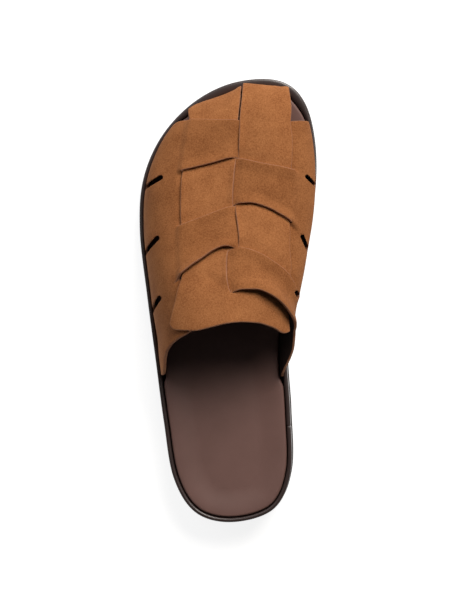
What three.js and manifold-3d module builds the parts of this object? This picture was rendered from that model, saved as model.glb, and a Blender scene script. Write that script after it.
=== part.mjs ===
// A man's slip-on mule, the left shoe: a suede upper woven from wide bands, on a leather-wrapped
// footbed with a raised rim, a padded insole and a thin rubber outsole.
// Millimetres. +Y is the toe, +X the big-toe side, +Z up. The shoe stands on Z = 0.

import * as THREE from "three";
import Module from "manifold-3d";

// Plan of the sole, clockwise from above: the points of one closed smooth curve
const OUTLINE = [
  { at: "heel tip", x: 4.0, y: -143.0 },
  { at: "heel outer corner", x: -20.0, y: -137.0 },
  { at: "heel outer side", x: -34.5, y: -114.5 },
  { at: "seat outer side", x: -41.0, y: -77.5 },
  { at: "waist outer side", x: -46.5, y: -36.5 },
  { at: "instep outer side", x: -52.0, y: 3.5 },
  { at: "little-toe joint", x: -57.0, y: 45.0 },
  { at: "ball outer side", x: -55.0, y: 77.5 },
  { at: "little toe", x: -43.2, y: 105.3 },
  { at: "toe outer corner", x: -22.0, y: 127.5 },
  { at: "toe tip", x: 4.8, y: 140.2 },
  { at: "big toe tip", x: 34.0, y: 141.0 },
  { at: "big toe corner", x: 50.7, y: 126.6 },
  { at: "big toe side", x: 57.5, y: 94.0 },
  { at: "ball inner side", x: 54.7, y: 53.0 },
  { at: "arch front", x: 44.5, y: 7.0 },
  { at: "waist inner side", x: 39.2, y: -30.5 },
  { at: "seat inner side", x: 41.3, y: -71.0 },
  { at: "heel inner side", x: 41.7, y: -110.0 },
  { at: "heel inner corner", x: 30.6, y: -134.3 },
];
const OUTLINE_STEPS = 12;

// Heights of the sole along the foot: underside, top of the outsole, top of the rim
const SOLE = [
  { y: -143, under: 0.0, join: 9.0, rim: 26.0 },
  { y: -62, under: 0.0, join: 9.0, rim: 25.8 },
  { y: -52, under: 2.6, join: 8.8, rim: 25.7 },
  { y: -22, under: 3.4, join: 8.2, rim: 25.0 },
  { y: 12, under: 1.2, join: 7.0, rim: 22.8 },
  { y: 34, under: 0.0, join: 6.4, rim: 20.6 },
  { y: 62, under: 0.0, join: 6.2, rim: 18.7 },
  { y: 90, under: 0.9, join: 7.2, rim: 18.9 },
  { y: 116, under: 3.9, join: 10.2, rim: 21.1 },
  { y: 143, under: 8.2, join: 14.4, rim: 25.0 },
];

// The upper along the foot: height of its ridge over its foot, how far in from the seam line the
// wall takes to reach it, how far the wall leans out over the rim on each side, and how much
// higher the big-toe side stands
const UPPER = [
  { y: -48, ridge: 60.5, reach: 39.0, outer: 0.0, inner: 8.5, skew: 0.1 },
  { y: -36, ridge: 60.5, reach: 39.0, outer: 0.0, inner: 14.0, skew: 0.1 },
  { y: -20, ridge: 59.5, reach: 39.0, outer: 0.0, inner: 10.8, skew: 0.1 },
  { y: -5, ridge: 56.5, reach: 39.0, outer: 0.0, inner: 9.5, skew: 0.1 },
  { y: 15, ridge: 50.5, reach: 38.0, outer: 0.0, inner: 10.1, skew: 0.1 },
  { y: 40, ridge: 42.5, reach: 36.0, outer: 0.0, inner: 8.2, skew: 0.1 },
  { y: 65, ridge: 35.5, reach: 33.0, outer: 0.0, inner: 6.8, skew: 0.12 },
  { y: 90, ridge: 29.5, reach: 29.0, outer: 1.0, inner: 4.8, skew: 0.14 },
  { y: 116, ridge: 24.5, reach: 25.0, outer: 2.0, inner: 3.2, skew: 0.12 },
  { y: 143, ridge: 20.0, reach: 23.0, outer: 2.0, inner: 2.5, skew: 0.1 },
];
const SQUARENESS = 2.2;

// How far the straps bulge forward over their foot at the toe, by distance across the foot
const TOE_LEAN = [
  { x: -23, lean: 7.5 },
  { x: -14, lean: 3.4 },
  { x: -6, lean: 1.0 },
  { x: 0, lean: 0.1 },
  { x: 5, lean: 0.5 },
  { x: 9.5, lean: 2.0 },
  { x: 12, lean: 3.9 },
  { x: 19, lean: 2.5 },
  { x: 27, lean: 1.6 },
  { x: 34, lean: 2.8 },
  { x: 40, lean: 8.0 },
];
const TOE_BLEND = { from: 112.0, to: 126.0 };

// Ends of the bands that run across the foot, from the outer seam line (0) round to the inner (1)
const BAND_ENDS = [
  { turn: 0.0, front: 108.5, rear: -47.5 },
  { turn: 0.06, front: 110.0, rear: -47.2 },
  { turn: 0.12, front: 111.3, rear: -46.0 },
  { turn: 0.15, front: 112.0, rear: -42.0 },
  { turn: 0.18, front: 112.3, rear: -35.2 },
  { turn: 0.22, front: 112.5, rear: -30.0 },
  { turn: 0.26, front: 112.6, rear: -26.6 },
  { turn: 0.3, front: 112.7, rear: -23.8 },
  { turn: 0.37, front: 112.7, rear: -19.5 },
  { turn: 0.47, front: 112.7, rear: -8.0 },
  { turn: 0.57, front: 112.7, rear: 3.6 },
  { turn: 0.62, front: 112.4, rear: 5.6 },
  { turn: 0.67, front: 112.2, rear: 5.6 },
  { turn: 0.72, front: 112.1, rear: 3.0 },
  { turn: 0.77, front: 112.1, rear: -2.0 },
  { turn: 0.82, front: 112.2, rear: -10.0 },
  { turn: 0.85, front: 112.2, rear: -14.5 },
  { turn: 0.89, front: 112.2, rear: -22.5 },
  { turn: 0.93, front: 112.0, rear: -34.0 },
  { turn: 0.97, front: 111.2, rear: -44.5 },
  { turn: 1.0, front: 109.5, rear: -48.5 },
];

// The three slits between the four cross bands
const SLITS = [
  { turn: 0.2, first: 76.8, second: 37.4, third: 0.6 },
  { turn: 0.33, first: 81.0, second: 45.4, third: 12.9 },
  { turn: 0.43, first: 84.8, second: 51.3, third: 23.3 },
  { turn: 0.53, first: 88.7, second: 57.6, third: 31.8 },
  { turn: 0.57, first: 87.6, second: 59.3, third: 31.8 },
  { turn: 0.61, first: 86.2, second: 59.5, third: 31.2 },
  { turn: 0.67, first: 84.4, second: 57.3, third: 28.7 },
  { turn: 0.74, first: 82.8, second: 52.7, third: 23.3 },
  { turn: 0.78, first: 81.3, second: 49.2, third: 19.2 },
  { turn: 0.85, first: 77.3, second: 40.0, third: 4.8 },
];

// Long edges of the two straps that run down the foot and become the tongue, as turns
const STRAPS = [
  { y: 113, outer: 0.25, middle: 0.503, inner: 0.771 },
  { y: 88, outer: 0.311, middle: 0.532, inner: 0.768 },
  { y: 58, outer: 0.336, middle: 0.546, inner: 0.775 },
  { y: 33, outer: 0.345, middle: 0.578, inner: 0.787 },
  { y: 29, outer: 0.346, middle: 0.546, inner: 0.792 },
  { y: 14, outer: 0.344, middle: 0.554, inner: 0.807 },
  { y: 4, outer: 0.326, middle: 0.569, inner: 0.815 },
  { y: -18, outer: 0.27, middle: 0.58, inner: 0.835 },
];

// The same edges ahead of the bands, as distances across the foot
const STRAP_TOES = [
  { y: 140, outer: -22.8, middle: 11.0, inner: 39.3 },
  { y: 126, outer: -22.3, middle: 10.2, inner: 39.6 },
  { y: 113, outer: -21.3, middle: 8.9, inner: 39.8 },
  { y: 100, outer: -21.3, middle: 8.4, inner: 39.8 },
];

// Rear end of the tongue, and where it starts behind or over the bands
const TONGUE = [
  { turn: 0.28, front: 4.0, rear: -13.5 },
  { turn: 0.31, front: 4.0, rear: -18.0 },
  { turn: 0.4, front: 4.0, rear: -18.6 },
  { turn: 0.49, front: 7.0, rear: -16.3 },
  { turn: 0.58, front: 12.0, rear: -13.7 },
  { turn: 0.63, front: 12.0, rear: -13.1 },
  { turn: 0.7, front: 10.5, rear: -13.4 },
  { turn: 0.76, front: 5.5, rear: -15.7 },
  { turn: 0.81, front: -2.0, rear: -19.2 },
  { turn: 0.835, front: -6.0, rear: -18.0 },
];

// The six open slots where the bands part at the sides: closed end, and the mouth at the wall
const SLOTS = [
  { at: "outer front", x: -40.9, y: 77.5, mouthX: -50.3, mouthY: 72.9 },
  { at: "outer middle", x: -42.3, y: 38.8, mouthX: -50.4, mouthY: 31.2 },
  { at: "outer rear", x: -40.5, y: 1.1, mouthX: -46.5, mouthY: -6.6 },
  { at: "inner front", x: 51.8, y: 77.6, mouthX: 56.5, mouthY: 73.0 },
  { at: "inner middle", x: 48.9, y: 39.7, mouthX: 51.7, mouthY: 32.9 },
  { at: "inner rear", x: 45.4, y: 4.6, mouthX: 48.2, mouthY: -1.2 },
];
const SLOT_WIDTH = 3.0;
const SLOT_REACH = 1.9;
const SLOT_TOP = 95.0;
const SLOT_FLOOR = 1.2;
// The inner slots end in the overhanging wall, at this share of the ridge's height
const INNER_SLOT_FLOOR = 0.45;
const INNER_MOUTH_WIDTH = 2.0;
const SLOT_FACETS = 6;

const CLEARANCE = 0.3;
const WALL = 2.0;
const RIM_WIDTH = 3.2;
const TOE_RIM = { extra: 3.0, from: 112.0, to: 134.0 };
const RIM_ROUND = 0.7;
const LEDGE_DEPTH = 6.5;
const SEAM_RISE = 0.8;
const SEAM_GAP = CLEARANCE + WALL / 2;
const WRAP_ROUND = 1.2;
const WRAP_INSET = 0.5;
const OUTSOLE_ROUND = 1.0;
const INSOLE_SUNK = 0.6;
const INSOLE_ROLL = 1.3;
const INSOLE_DISH = 1.7;
const DISH_REACH = 18.0;
const DISH_START = 0.1;
const UPPER_START = -53.0;
const UPPER_RAMP = 5.0;
const BEHIND_UPPER = 0.4;

const BAND_LIFT = 1.5;
const BAND_DIP = 0.5;
const BAND_SLOPE = 0.07;
const BAND_SWELL = { full: 0.4, easing: 0.75 };
const STRAP_SWELL = 0.6;
const CLIMB_LENGTH = 11.0;
const FLAP = { from: 0.56, to: 0.87, lift: 3.4, reach: 14.0 };
const STRAP_GAP = 0.8;
const TONGUE_OVER = 1.5;
const TONGUE_UNDER = -1.7;
const TONGUE_TURN = { from: 0.55, to: 0.61 };
const TUCK_UNDER = 3.0;
const STRAP_SKIN = 0.1;
const EDGE_LAP = 0.5;
const TURN_LAP = 0.007;
const SUNK = 0.3;

// Grooves of the tread: middle of each, across the sole
const TREAD_DEPTH = 1.8;
const TREAD_WIDTH = 3.0;
const TREAD_MARGIN = 7.0;
const FOREFOOT_TREAD = { from: 40.0, to: 112.0, count: 7 };
const HEEL_TREAD = { from: -126.0, to: -70.0, count: 6 };

// How finely the forms are divided
const SOLE_ROWS = 44;
const SOLE_RUNGS = 5;
const INSOLE_RUNGS = 9;
const BAND_GRID = { columns: 26, rows: 24 };
const TOE_GRID = { columns: 7, rows: 8, crowding: 1.7 };
const BAND_OVER_GRID = { columns: 9, rows: 5 };
const STRAP_OVER_GRID = { columns: 6, rows: 6 };
const TONGUE_GRID = { columns: 16, rows: 7 };

// Steps over which the upper's slope is read, and the furthest place along it where its width is
const SLOPE_STEP = { across: 0.35, turn: 0.01, along: 0.5 };
const LAST_STATION = 134.0;

const wasm = await Module();
wasm.setup();

// Value of a table's column, eased between its rows without overshoot
function along(table, place, key, at) {
  const last = table.length - 1;
  const rising = table[last][place] > table[0][place];
  const rows = rising ? table : [...table].reverse();
  if (at <= rows[0][place]) return rows[0][key];
  if (at >= rows[last][place]) return rows[last][key];
  const secant = (i) => (rows[i + 1][key] - rows[i][key]) / (rows[i + 1][place] - rows[i][place]);
  const slope = (i) => {
    if (i === 0) return secant(0);
    if (i === last) return secant(last - 1);
    const before = secant(i - 1);
    const after = secant(i);
    return before * after <= 0 ? 0 : (2 * before * after) / (before + after);
  };
  const i = rows.findLastIndex((row) => row[place] <= at);
  const run = rows[i + 1][place] - rows[i][place];
  const t = (at - rows[i][place]) / run;
  const rise = rows[i + 1][key] - rows[i][key];
  const ease = t * t * (3 - 2 * t);
  const lead = t * (1 - t) * (1 - t) * slope(i) * run;
  const trail = t * t * (1 - t) * slope(i + 1) * run;
  return rows[i][key] + rise * ease + lead - trail;
}

const soleAt = (key, y) => along(SOLE, "y", key, y);
const upperAt = (key, y) => along(UPPER, "y", key, y);
const smoothstep = THREE.MathUtils.smoothstep;
// Width of the raised rim, which grows round the toe
const rimWidth = (y) => RIM_WIDTH + TOE_RIM.extra * smoothstep(y, TOE_RIM.from, TOE_RIM.to);
const lerp = THREE.MathUtils.lerp;

// The sole's outline moved inwards, with a fixed inset or one that depends on y
class Edge {
  constructor(inset) {
    const points = OUTLINE.map((p) => new THREE.Vector3(p.x, p.y, 0));
    const curve = new THREE.CatmullRomCurve3(points, true, "catmullrom", 0.5);
    const count = OUTLINE.length * OUTLINE_STEPS;
    this.points = [];
    for (let i = 0; i < count; i++) {
      const point = curve.getPoint(i / count);
      const before = curve.getPoint((i - 0.5 + count) % count / count);
      const after = curve.getPoint((i + 0.5) % count / count);
      const inward = new THREE.Vector3(after.y - before.y, before.x - after.x, 0).normalize();
      const distance = typeof inset === "number" ? inset : inset(point.y);
      this.points.push(point.addScaledVector(inward, distance));
    }
  }

  // Outer and inner side at a station along the foot
  span(y) {
    let outer = Infinity;
    let inner = -Infinity;
    this.points.forEach((a, i) => {
      const b = this.points[(i + 1) % this.points.length];
      if ((a.y - y) * (b.y - y) > 0 || a.y === b.y) return;
      const x = a.x + ((y - a.y) / (b.y - a.y)) * (b.x - a.x);
      outer = Math.min(outer, x);
      inner = Math.max(inner, x);
    });
    return { outer, inner };
  }

  // Furthest place forward on a line along the foot
  frontAt(x) {
    let front = -Infinity;
    this.points.forEach((a, i) => {
      const b = this.points[(i + 1) % this.points.length];
      if ((a.x - x) * (b.x - x) > 0 || a.x === b.x) return;
      front = Math.max(front, a.y + ((x - a.x) / (b.x - a.x)) * (b.y - a.y));
    });
    return front;
  }

  // Distance in from the edge, none outside it, with the outward direction at the nearest place
  inwards(x, y) {
    let best = { away: Infinity, distance: 0, outX: 0, outY: 0 };
    this.points.forEach((a, i) => {
      const b = this.points[(i + 1) % this.points.length];
      const dx = b.x - a.x;
      const dy = b.y - a.y;
      const length = Math.hypot(dx, dy);
      const t = THREE.MathUtils.clamp(((x - a.x) * dx + (y - a.y) * dy) / length ** 2, 0, 1);
      const offX = a.x + t * dx - x;
      const offY = a.y + t * dy - y;
      const away = Math.hypot(offX, offY);
      if (away >= best.away) return;
      const outX = -dy / length;
      const outY = dx / length;
      best = { away, distance: Math.max(offX * outX + offY * outY, 0), outX, outY };
    });
    return best;
  }

  // Points round the edge in pairs that face each other across the foot
  loop(rows, height) {
    const tipOf = (better) => this.points.reduce((a, b) => (better(b.y, a.y) ? b : a));
    const heel = tipOf((a, b) => a < b);
    const toe = tipOf((a, b) => a > b);
    const outer = [];
    const inner = [];
    for (let i = 1; i < rows; i++) {
      const y = lerp(heel.y, toe.y, (1 - Math.cos((Math.PI * i) / rows)) / 2);
      const side = this.span(y);
      outer.push(new THREE.Vector3(side.outer, y, height(y)));
      inner.unshift(new THREE.Vector3(side.inner, y, height(y)));
    }
    const tip = (p) => new THREE.Vector3(p.x, p.y, height(p.y));
    return [tip(heel), ...outer, tip(toe), ...inner];
  }
}

// Turns points and triangles into a solid that faces outwards
function solidOf(points, triangles) {
  const box = new THREE.Box3().setFromPoints(points);
  const centre = box.getCenter(new THREE.Vector3());
  let volume = 0;
  for (const [a, b, c] of triangles) {
    const [p, q, r] = [a, b, c].map((i) => points[i].clone().sub(centre));
    volume += p.dot(q.cross(r));
  }
  const facing = volume > 0 ? triangles : triangles.map(([a, b, c]) => [a, c, b]);
  return new wasm.Manifold(
    new wasm.Mesh({
      numProp: 3,
      vertProperties: new Float32Array(points.flatMap((p) => [p.x, p.y, p.z])),
      triVerts: new Uint32Array(facing.flat()),
    }),
  );
}

// A solid of stacked loops, from the lowest up, closed by a face across the first and the last
function stackLoops(loops, rungs, lowHeight, highHeight) {
  const points = loops.flat();
  const size = loops[0].length;
  const half = size / 2;
  const triangles = [];
  const quad = (a, b, c, d) => triangles.push([a, b, c], [a, c, d]);
  for (let k = 0; k + 1 < loops.length; k++) {
    for (let i = 0; i < size; i++) {
      const next = (i + 1) % size;
      quad(k * size + i, (k + 1) * size + i, (k + 1) * size + next, k * size + next);
    }
  }
  const close = (start, height, up) => {
    const rows = [];
    for (let i = 1; i < half; i++) {
      const left = points[start + i];
      const right = points[start + size - i];
      const row = [start + i];
      for (let j = 1; j < rungs; j++) {
        const p = new THREE.Vector3().lerpVectors(left, right, j / rungs);
        p.z = height(p.x, p.y);
        row.push(points.push(p) - 1);
      }
      rows.push([...row, start + size - i]);
    }
    const face = (a, b, c) => triangles.push(up ? [a, b, c] : [a, c, b]);
    for (let j = 0; j < rungs; j++) {
      face(start, rows[0][j + 1], rows[0][j]);
      face(start + half, rows.at(-1)[j], rows.at(-1)[j + 1]);
      for (let i = 0; i + 1 < rows.length; i++) {
        face(rows[i][j], rows[i][j + 1], rows[i + 1][j + 1]);
        face(rows[i][j], rows[i + 1][j + 1], rows[i + 1][j]);
      }
    }
  };
  close(0, lowHeight, false);
  close((loops.length - 1) * size, highHeight, true);
  return solidOf(points, triangles);
}

// An outline in plan pushed up from one height to another
function prism(outline, low, high) {
  const shape = new THREE.Shape(outline);
  const geometry = new THREE.ExtrudeGeometry(shape, { depth: high - low, bevelEnabled: false });
  geometry.translate(0, 0, low);
  const at = geometry.getAttribute("position");
  const points = [];
  const known = new Map();
  const corners = [];
  for (let i = 0; i < at.count; i++) {
    const p = new THREE.Vector3().fromBufferAttribute(at, i);
    const key = p.toArray().map((v) => v.toFixed(4)).join();
    if (!known.has(key)) known.set(key, points.push(p) - 1);
    corners.push(known.get(key));
  }
  const triangles = [];
  for (let i = 0; i < corners.length; i += 3) triangles.push(corners.slice(i, i + 3));
  return solidOf(points, triangles);
}

// The rubber outsole: heel and forefoot flat on the ground, waist and toe off it, with tread
function makeOutsole() {
  const under = (y) => soleAt("under", y);
  const top = (y) => soleAt("join", y);
  const loops = [
    new Edge(OUTSOLE_ROUND).loop(SOLE_ROWS, under),
    new Edge(0).loop(SOLE_ROWS, (y) => under(y) + OUTSOLE_ROUND),
    new Edge(0).loop(SOLE_ROWS, top),
  ];
  let sole = stackLoops(loops, SOLE_RUNGS, (x, y) => under(y), (x, y) => top(y));
  const margin = new Edge(TREAD_MARGIN);
  for (const group of [FOREFOOT_TREAD, HEEL_TREAD]) {
    for (let i = 0; i < group.count; i++) {
      const y = lerp(group.from, group.to, i / (group.count - 1));
      const side = margin.span(y);
      const near = y - TREAD_WIDTH / 2;
      const far = y + TREAD_WIDTH / 2;
      const outline = [
        new THREE.Vector2(side.outer, near),
        new THREE.Vector2(side.inner, near),
        new THREE.Vector2(side.inner, far),
        new THREE.Vector2(side.outer, far),
      ];
      sole = sole.subtract(prism(outline, -TREAD_DEPTH, under(y) + TREAD_DEPTH));
    }
  }
  return sole;
}

// The leather-wrapped footbed: a raised rim all round, and a ledge inside for insole and upper
function makeMidsole() {
  const under = (y) => soleAt("join", y) + CLEARANCE;
  const rim = (y) => soleAt("rim", y);
  const ledge = (y) => rim(y) - LEDGE_DEPTH;
  const loops = [
    new Edge(WRAP_INSET + WRAP_ROUND).loop(SOLE_ROWS, under),
    new Edge(WRAP_INSET).loop(SOLE_ROWS, (y) => under(y) + WRAP_ROUND),
    new Edge(WRAP_INSET).loop(SOLE_ROWS, (y) => rim(y) - RIM_ROUND),
    new Edge(WRAP_INSET + RIM_ROUND).loop(SOLE_ROWS, rim),
    new Edge((y) => rimWidth(y) - RIM_ROUND).loop(SOLE_ROWS, rim),
    new Edge(rimWidth).loop(SOLE_ROWS, (y) => rim(y) - RIM_ROUND),
    new Edge(rimWidth).loop(SOLE_ROWS, ledge),
  ];
  return stackLoops(loops, SOLE_RUNGS, (x, y) => under(y), (x, y) => ledge(y));
}

// The padded insole: a rolled edge, a dish for the heel and ball, narrower where the upper stands
function makeInsole() {
  const inset = (y) => {
    const upperFoot = CLEARANCE + WALL - BEHIND_UPPER;
    const shown = smoothstep(y, UPPER_START - UPPER_RAMP, UPPER_START);
    return rimWidth(y) + CLEARANCE + BEHIND_UPPER + upperFoot * shown;
  };
  const moved = (by) => new Edge((y) => inset(y) + by);
  const base = (y) => soleAt("rim", y) - LEDGE_DEPTH + CLEARANCE;
  const lip = (y) => soleAt("rim", y) - INSOLE_SUNK;
  const edge = moved(0);
  const footbed = (x, y) => {
    const depth = Math.min(edge.inwards(x, y).distance / DISH_REACH, 1);
    return lip(y) - INSOLE_DISH * smoothstep(depth, DISH_START, 1);
  };
  const loops = [
    moved(INSOLE_ROLL / 2).loop(SOLE_ROWS, base),
    moved(0).loop(SOLE_ROWS, (y) => base(y) + INSOLE_ROLL),
    moved(0).loop(SOLE_ROWS, (y) => lip(y) - INSOLE_ROLL),
    moved(INSOLE_ROLL).loop(SOLE_ROWS, lip),
  ];
  return stackLoops(loops, INSOLE_RUNGS, (x, y) => base(y), footbed);
}

const seam = new Edge((y) => rimWidth(y) + SEAM_GAP);

// From -1 on the outer seam line to 1 on the inner
function acrossAt(x, side) {
  const middle = (side.outer + side.inner) / 2;
  const half = (side.inner - side.outer) / 2;
  return THREE.MathUtils.clamp((x - middle) / half, -1, 1);
}

// Middle of the upper's wall over a place in plan
function lastSurface(x, y) {
  const near = seam.inwards(x, y);
  const rho = Math.min(near.distance / upperAt("reach", y), 1);
  const rise = (1 - (1 - rho) ** SQUARENESS) ** (1 / SQUARENESS);
  const across = acrossAt(x, seam.span(THREE.MathUtils.clamp(y, -LAST_STATION, LAST_STATION)));
  const inner = smoothstep(across, -1, 1);
  const sideLean = lerp(upperAt("outer", y), upperAt("inner", y), inner);
  const atToe = smoothstep(y, TOE_BLEND.from, TOE_BLEND.to);
  const furthest = lerp(sideLean, along(TOE_LEAN, "x", "lean", x), atToe);
  const lean = furthest * Math.sin(Math.PI * rise) ** 2;
  const ridge = upperAt("ridge", y) * (1 + upperAt("skew", y) * across);
  const foot = soleAt("rim", y) + SEAM_RISE;
  return new THREE.Vector3(
    x + near.outX * lean * (1 - atToe),
    y + lerp(near.outY, 1, atToe) * lean,
    foot + ridge * rise,
  );
}

// A place on the upper by its distance across the foot: middle point, and direction out of the wall
function placeByX(x, y) {
  const step = SLOPE_STEP.across;
  const acrossFoot = lastSurface(x + step, y).sub(lastSurface(x - step, y));
  const alongFoot = lastSurface(x, y + step).sub(lastSurface(x, y - step));
  return { point: lastSurface(x, y), out: acrossFoot.cross(alongFoot).normalize() };
}

// The same by its turn round the foot
function placeByTurn(turn, y) {
  const at = (part, station) => {
    const side = seam.span(station);
    const mix = (1 - Math.cos(Math.PI * THREE.MathUtils.clamp(part, 0, 1))) / 2;
    return lastSurface(lerp(side.outer, side.inner, mix), station);
  };
  const acrossFoot = at(turn + SLOPE_STEP.turn, y).sub(at(turn - SLOPE_STEP.turn, y));
  const alongFoot = at(turn, y + SLOPE_STEP.along).sub(at(turn, y - SLOPE_STEP.along));
  return { point: at(turn, y), out: acrossFoot.cross(alongFoot).normalize() };
}

// A place on the seam line, or straight below it in the groove beside the rim
function wallFoot(x, y, drop) {
  const near = seam.inwards(x, y);
  const point = lastSurface(x, y);
  point.z -= drop;
  return { point, out: new THREE.Vector3(near.outX, near.outY, 0) };
}

// A closed sheet from rows of places, each with its distances to the inner and outer face
function sheetOf(rows) {
  const points = [];
  const add = ({ point, out }, distance) => points.push(point.clone().addScaledVector(out, distance)) - 1;
  const outer = rows.map((row) => row.map((place) => add(place, place.to)));
  const inner = rows.map((row) => row.map((place) => add(place, place.from)));
  const triangles = [];
  const quad = (a, b, c, d) => triangles.push([a, b, c], [a, c, d]);
  const last = rows.length - 1;
  const end = rows[0].length - 1;
  for (let r = 0; r < last; r++) {
    for (let c = 0; c < end; c++) {
      quad(outer[r][c], outer[r][c + 1], outer[r + 1][c + 1], outer[r + 1][c]);
      quad(inner[r][c], inner[r + 1][c], inner[r + 1][c + 1], inner[r][c + 1]);
    }
    quad(outer[r][0], outer[r + 1][0], inner[r + 1][0], inner[r][0]);
    quad(outer[r + 1][end], outer[r][end], inner[r][end], inner[r + 1][end]);
  }
  for (let c = 0; c < end; c++) {
    quad(outer[0][c + 1], outer[0][c], inner[0][c], inner[0][c + 1]);
    quad(outer[last][c], outer[last][c + 1], inner[last][c + 1], inner[last][c]);
  }
  return solidOf(points, triangles);
}

const steps = (count) => Array.from({ length: count + 1 }, (_, i) => i / count);
const FOOT_DROP = LEDGE_DEPTH + SEAM_RISE - CLEARANCE;

const bandEnd = (key, turn) => along(BAND_ENDS, "turn", key, turn);

// The one wide piece that all four cross bands are slit from, down into the groove at both sides
function crossBands() {
  const place = (turn, down, drop) => {
    const y = lerp(bandEnd("front", turn), bandEnd("rear", turn), down);
    const side = seam.span(y);
    const foot = turn === 0 ? side.outer : side.inner;
    const wall = turn === 0 || turn === 1 ? wallFoot(foot, y, drop) : placeByTurn(turn, y);
    const flap = flapLift(turn, y);
    return { ...wall, from: flap - WALL / 2, to: flap + WALL / 2 };
  };
  const rows = steps(BAND_GRID.rows).map((down) => {
    const arch = steps(BAND_GRID.columns).map((turn) => place(turn, down, 0));
    return [place(0, down, FOOT_DROP), ...arch, place(1, down, FOOT_DROP)];
  });
  return sheetOf(rows);
}

// How far the rear edge of the last band stands up off the tongue
function flapLift(turn, y) {
  const within = THREE.MathUtils.clamp((turn - FLAP.from) / (FLAP.to - FLAP.from), 0, 1);
  const rear = bandEnd("rear", turn);
  return FLAP.lift * Math.sin(Math.PI * within) * (1 - smoothstep(y, rear, rear + FLAP.reach));
}

// Lines across the foot that bound the four bands, from the toe back
const ACROSS = [
  (turn) => bandEnd("front", turn),
  (turn) => along(SLITS, "turn", "first", turn),
  (turn) => along(SLITS, "turn", "second", turn),
  (turn) => along(SLITS, "turn", "third", turn),
  (turn) => bandEnd("rear", turn),
];
const strapEdge = (key) => (y) => along(STRAPS, "y", key, y);
const shifted = (line, by) => (at) => line(at) + by;

// A sheet between two lines across the foot and two along it, its faces set by part and down
function patch({ front, rear, outer, inner, columns, rows, faces, place = placeByTurn }) {
  const corner = (part, down) => {
    const middle = lerp(outer(0), inner(0), 0.5);
    let y = lerp(front(middle), rear(middle), down);
    for (let i = 0; i < 3; i++) {
      const across = lerp(outer(y), inner(y), part);
      y = lerp(front(across), rear(across), down);
    }
    const across = lerp(outer(y), inner(y), part);
    return { ...place(across, y, down), ...faces(part, down, across, y) };
  };
  return sheetOf(rows.map((down) => steps(columns).map((part) => corner(part, down))));
}

// The front of a strap, from the groove at the toe to the first band, which one strap climbs over
function strapFront(outerKey, innerKey, climb) {
  const edge = (key, gap) => (y) => along(STRAP_TOES, "y", key, y) + (key === "middle" ? gap : 0);
  const bandFront = bandEnd("front", 0.5);
  const toe = (x) => seam.frontAt(x);
  return patch({
    front: toe,
    rear: () => bandFront - TUCK_UNDER,
    outer: edge(outerKey, STRAP_GAP / 2),
    inner: edge(innerKey, -STRAP_GAP / 2),
    columns: TOE_GRID.columns,
    rows: [-1, ...steps(TOE_GRID.rows).map((part) => part ** TOE_GRID.crowding)],
    place: (x, y, down) => {
      if (down > 0) return placeByX(x, y);
      return wallFoot(x, toe(x), down < 0 ? FOOT_DROP : 0);
    },
    faces: (part, down, x, y) => {
      const lift = climb * (1 - smoothstep(y, bandFront, bandFront + CLIMB_LENGTH));
      return { from: lift + STRAP_SKIN - WALL / 2, to: lift - STRAP_SKIN + WALL / 2 };
    },
  });
}

// Where a cross band passes over a strap: a swelling of the wall with the band's cut edges
function bandOver(band, onOuterStrap) {
  const outerKey = onOuterStrap ? "outer" : "middle";
  const innerKey = onOuterStrap ? "middle" : "inner";
  return patch({
    front: shifted(ACROSS[band], band === 0 ? -EDGE_LAP : 0),
    rear: shifted(ACROSS[band + 1], band === 3 ? EDGE_LAP : 0),
    outer: shifted(strapEdge(outerKey), onOuterStrap ? -BAND_SLOPE : -TURN_LAP),
    inner: shifted(strapEdge(innerKey), onOuterStrap ? TURN_LAP : BAND_SLOPE),
    columns: BAND_OVER_GRID.columns,
    rows: steps(BAND_OVER_GRID.rows),
    faces: (part, down, turn, y) => {
      const fromSide = onOuterStrap ? part : 1 - part;
      const up = smoothstep(fromSide, 0, BAND_SWELL.full);
      const dip = smoothstep(fromSide, BAND_SWELL.easing, 1) * (BAND_LIFT - BAND_DIP);
      const flap = flapLift(turn, y);
      return { from: flap, to: flap + WALL / 2 - SUNK + (BAND_LIFT + SUNK) * up - dip };
    },
  });
}

// Where a strap passes over a cross band, or over the last band to become the tongue
function strapOver(band, onOuterStrap) {
  const intoTongue = band === 3;
  const tongueFront = (turn) => along(TONGUE, "turn", "front", turn) - TUCK_UNDER;
  return patch({
    front: shifted(ACROSS[band], EDGE_LAP),
    rear: intoTongue ? tongueFront : shifted(ACROSS[band + 1], -EDGE_LAP),
    outer: strapEdge(onOuterStrap ? "outer" : "middle"),
    inner: strapEdge(onOuterStrap ? "middle" : "inner"),
    columns: STRAP_OVER_GRID.columns,
    rows: steps(STRAP_OVER_GRID.rows),
    faces: (part, down) => {
      const swell = intoTongue && down > 0.5 ? 1 : Math.sin(Math.PI * down) ** STRAP_SWELL;
      return { from: 0, to: WALL / 2 + lerp(BAND_DIP, BAND_LIFT, swell) };
    },
  });
}

// The wide tongue behind the bands: over the last band on the outer side, under it on the other
function makeTongue() {
  return patch({
    front: (turn) => along(TONGUE, "turn", "front", turn),
    rear: (turn) => along(TONGUE, "turn", "rear", turn),
    outer: strapEdge("outer"),
    inner: strapEdge("inner"),
    columns: TONGUE_GRID.columns,
    rows: steps(TONGUE_GRID.rows),
    faces: (part, down, turn) => {
      const under = smoothstep(turn, TONGUE_TURN.from, TONGUE_TURN.to);
      const lift = lerp(TONGUE_OVER, TONGUE_UNDER, under);
      return { from: lift + STRAP_SKIN - WALL / 2, to: lift - STRAP_SKIN + WALL / 2 };
    },
  });
}

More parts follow.
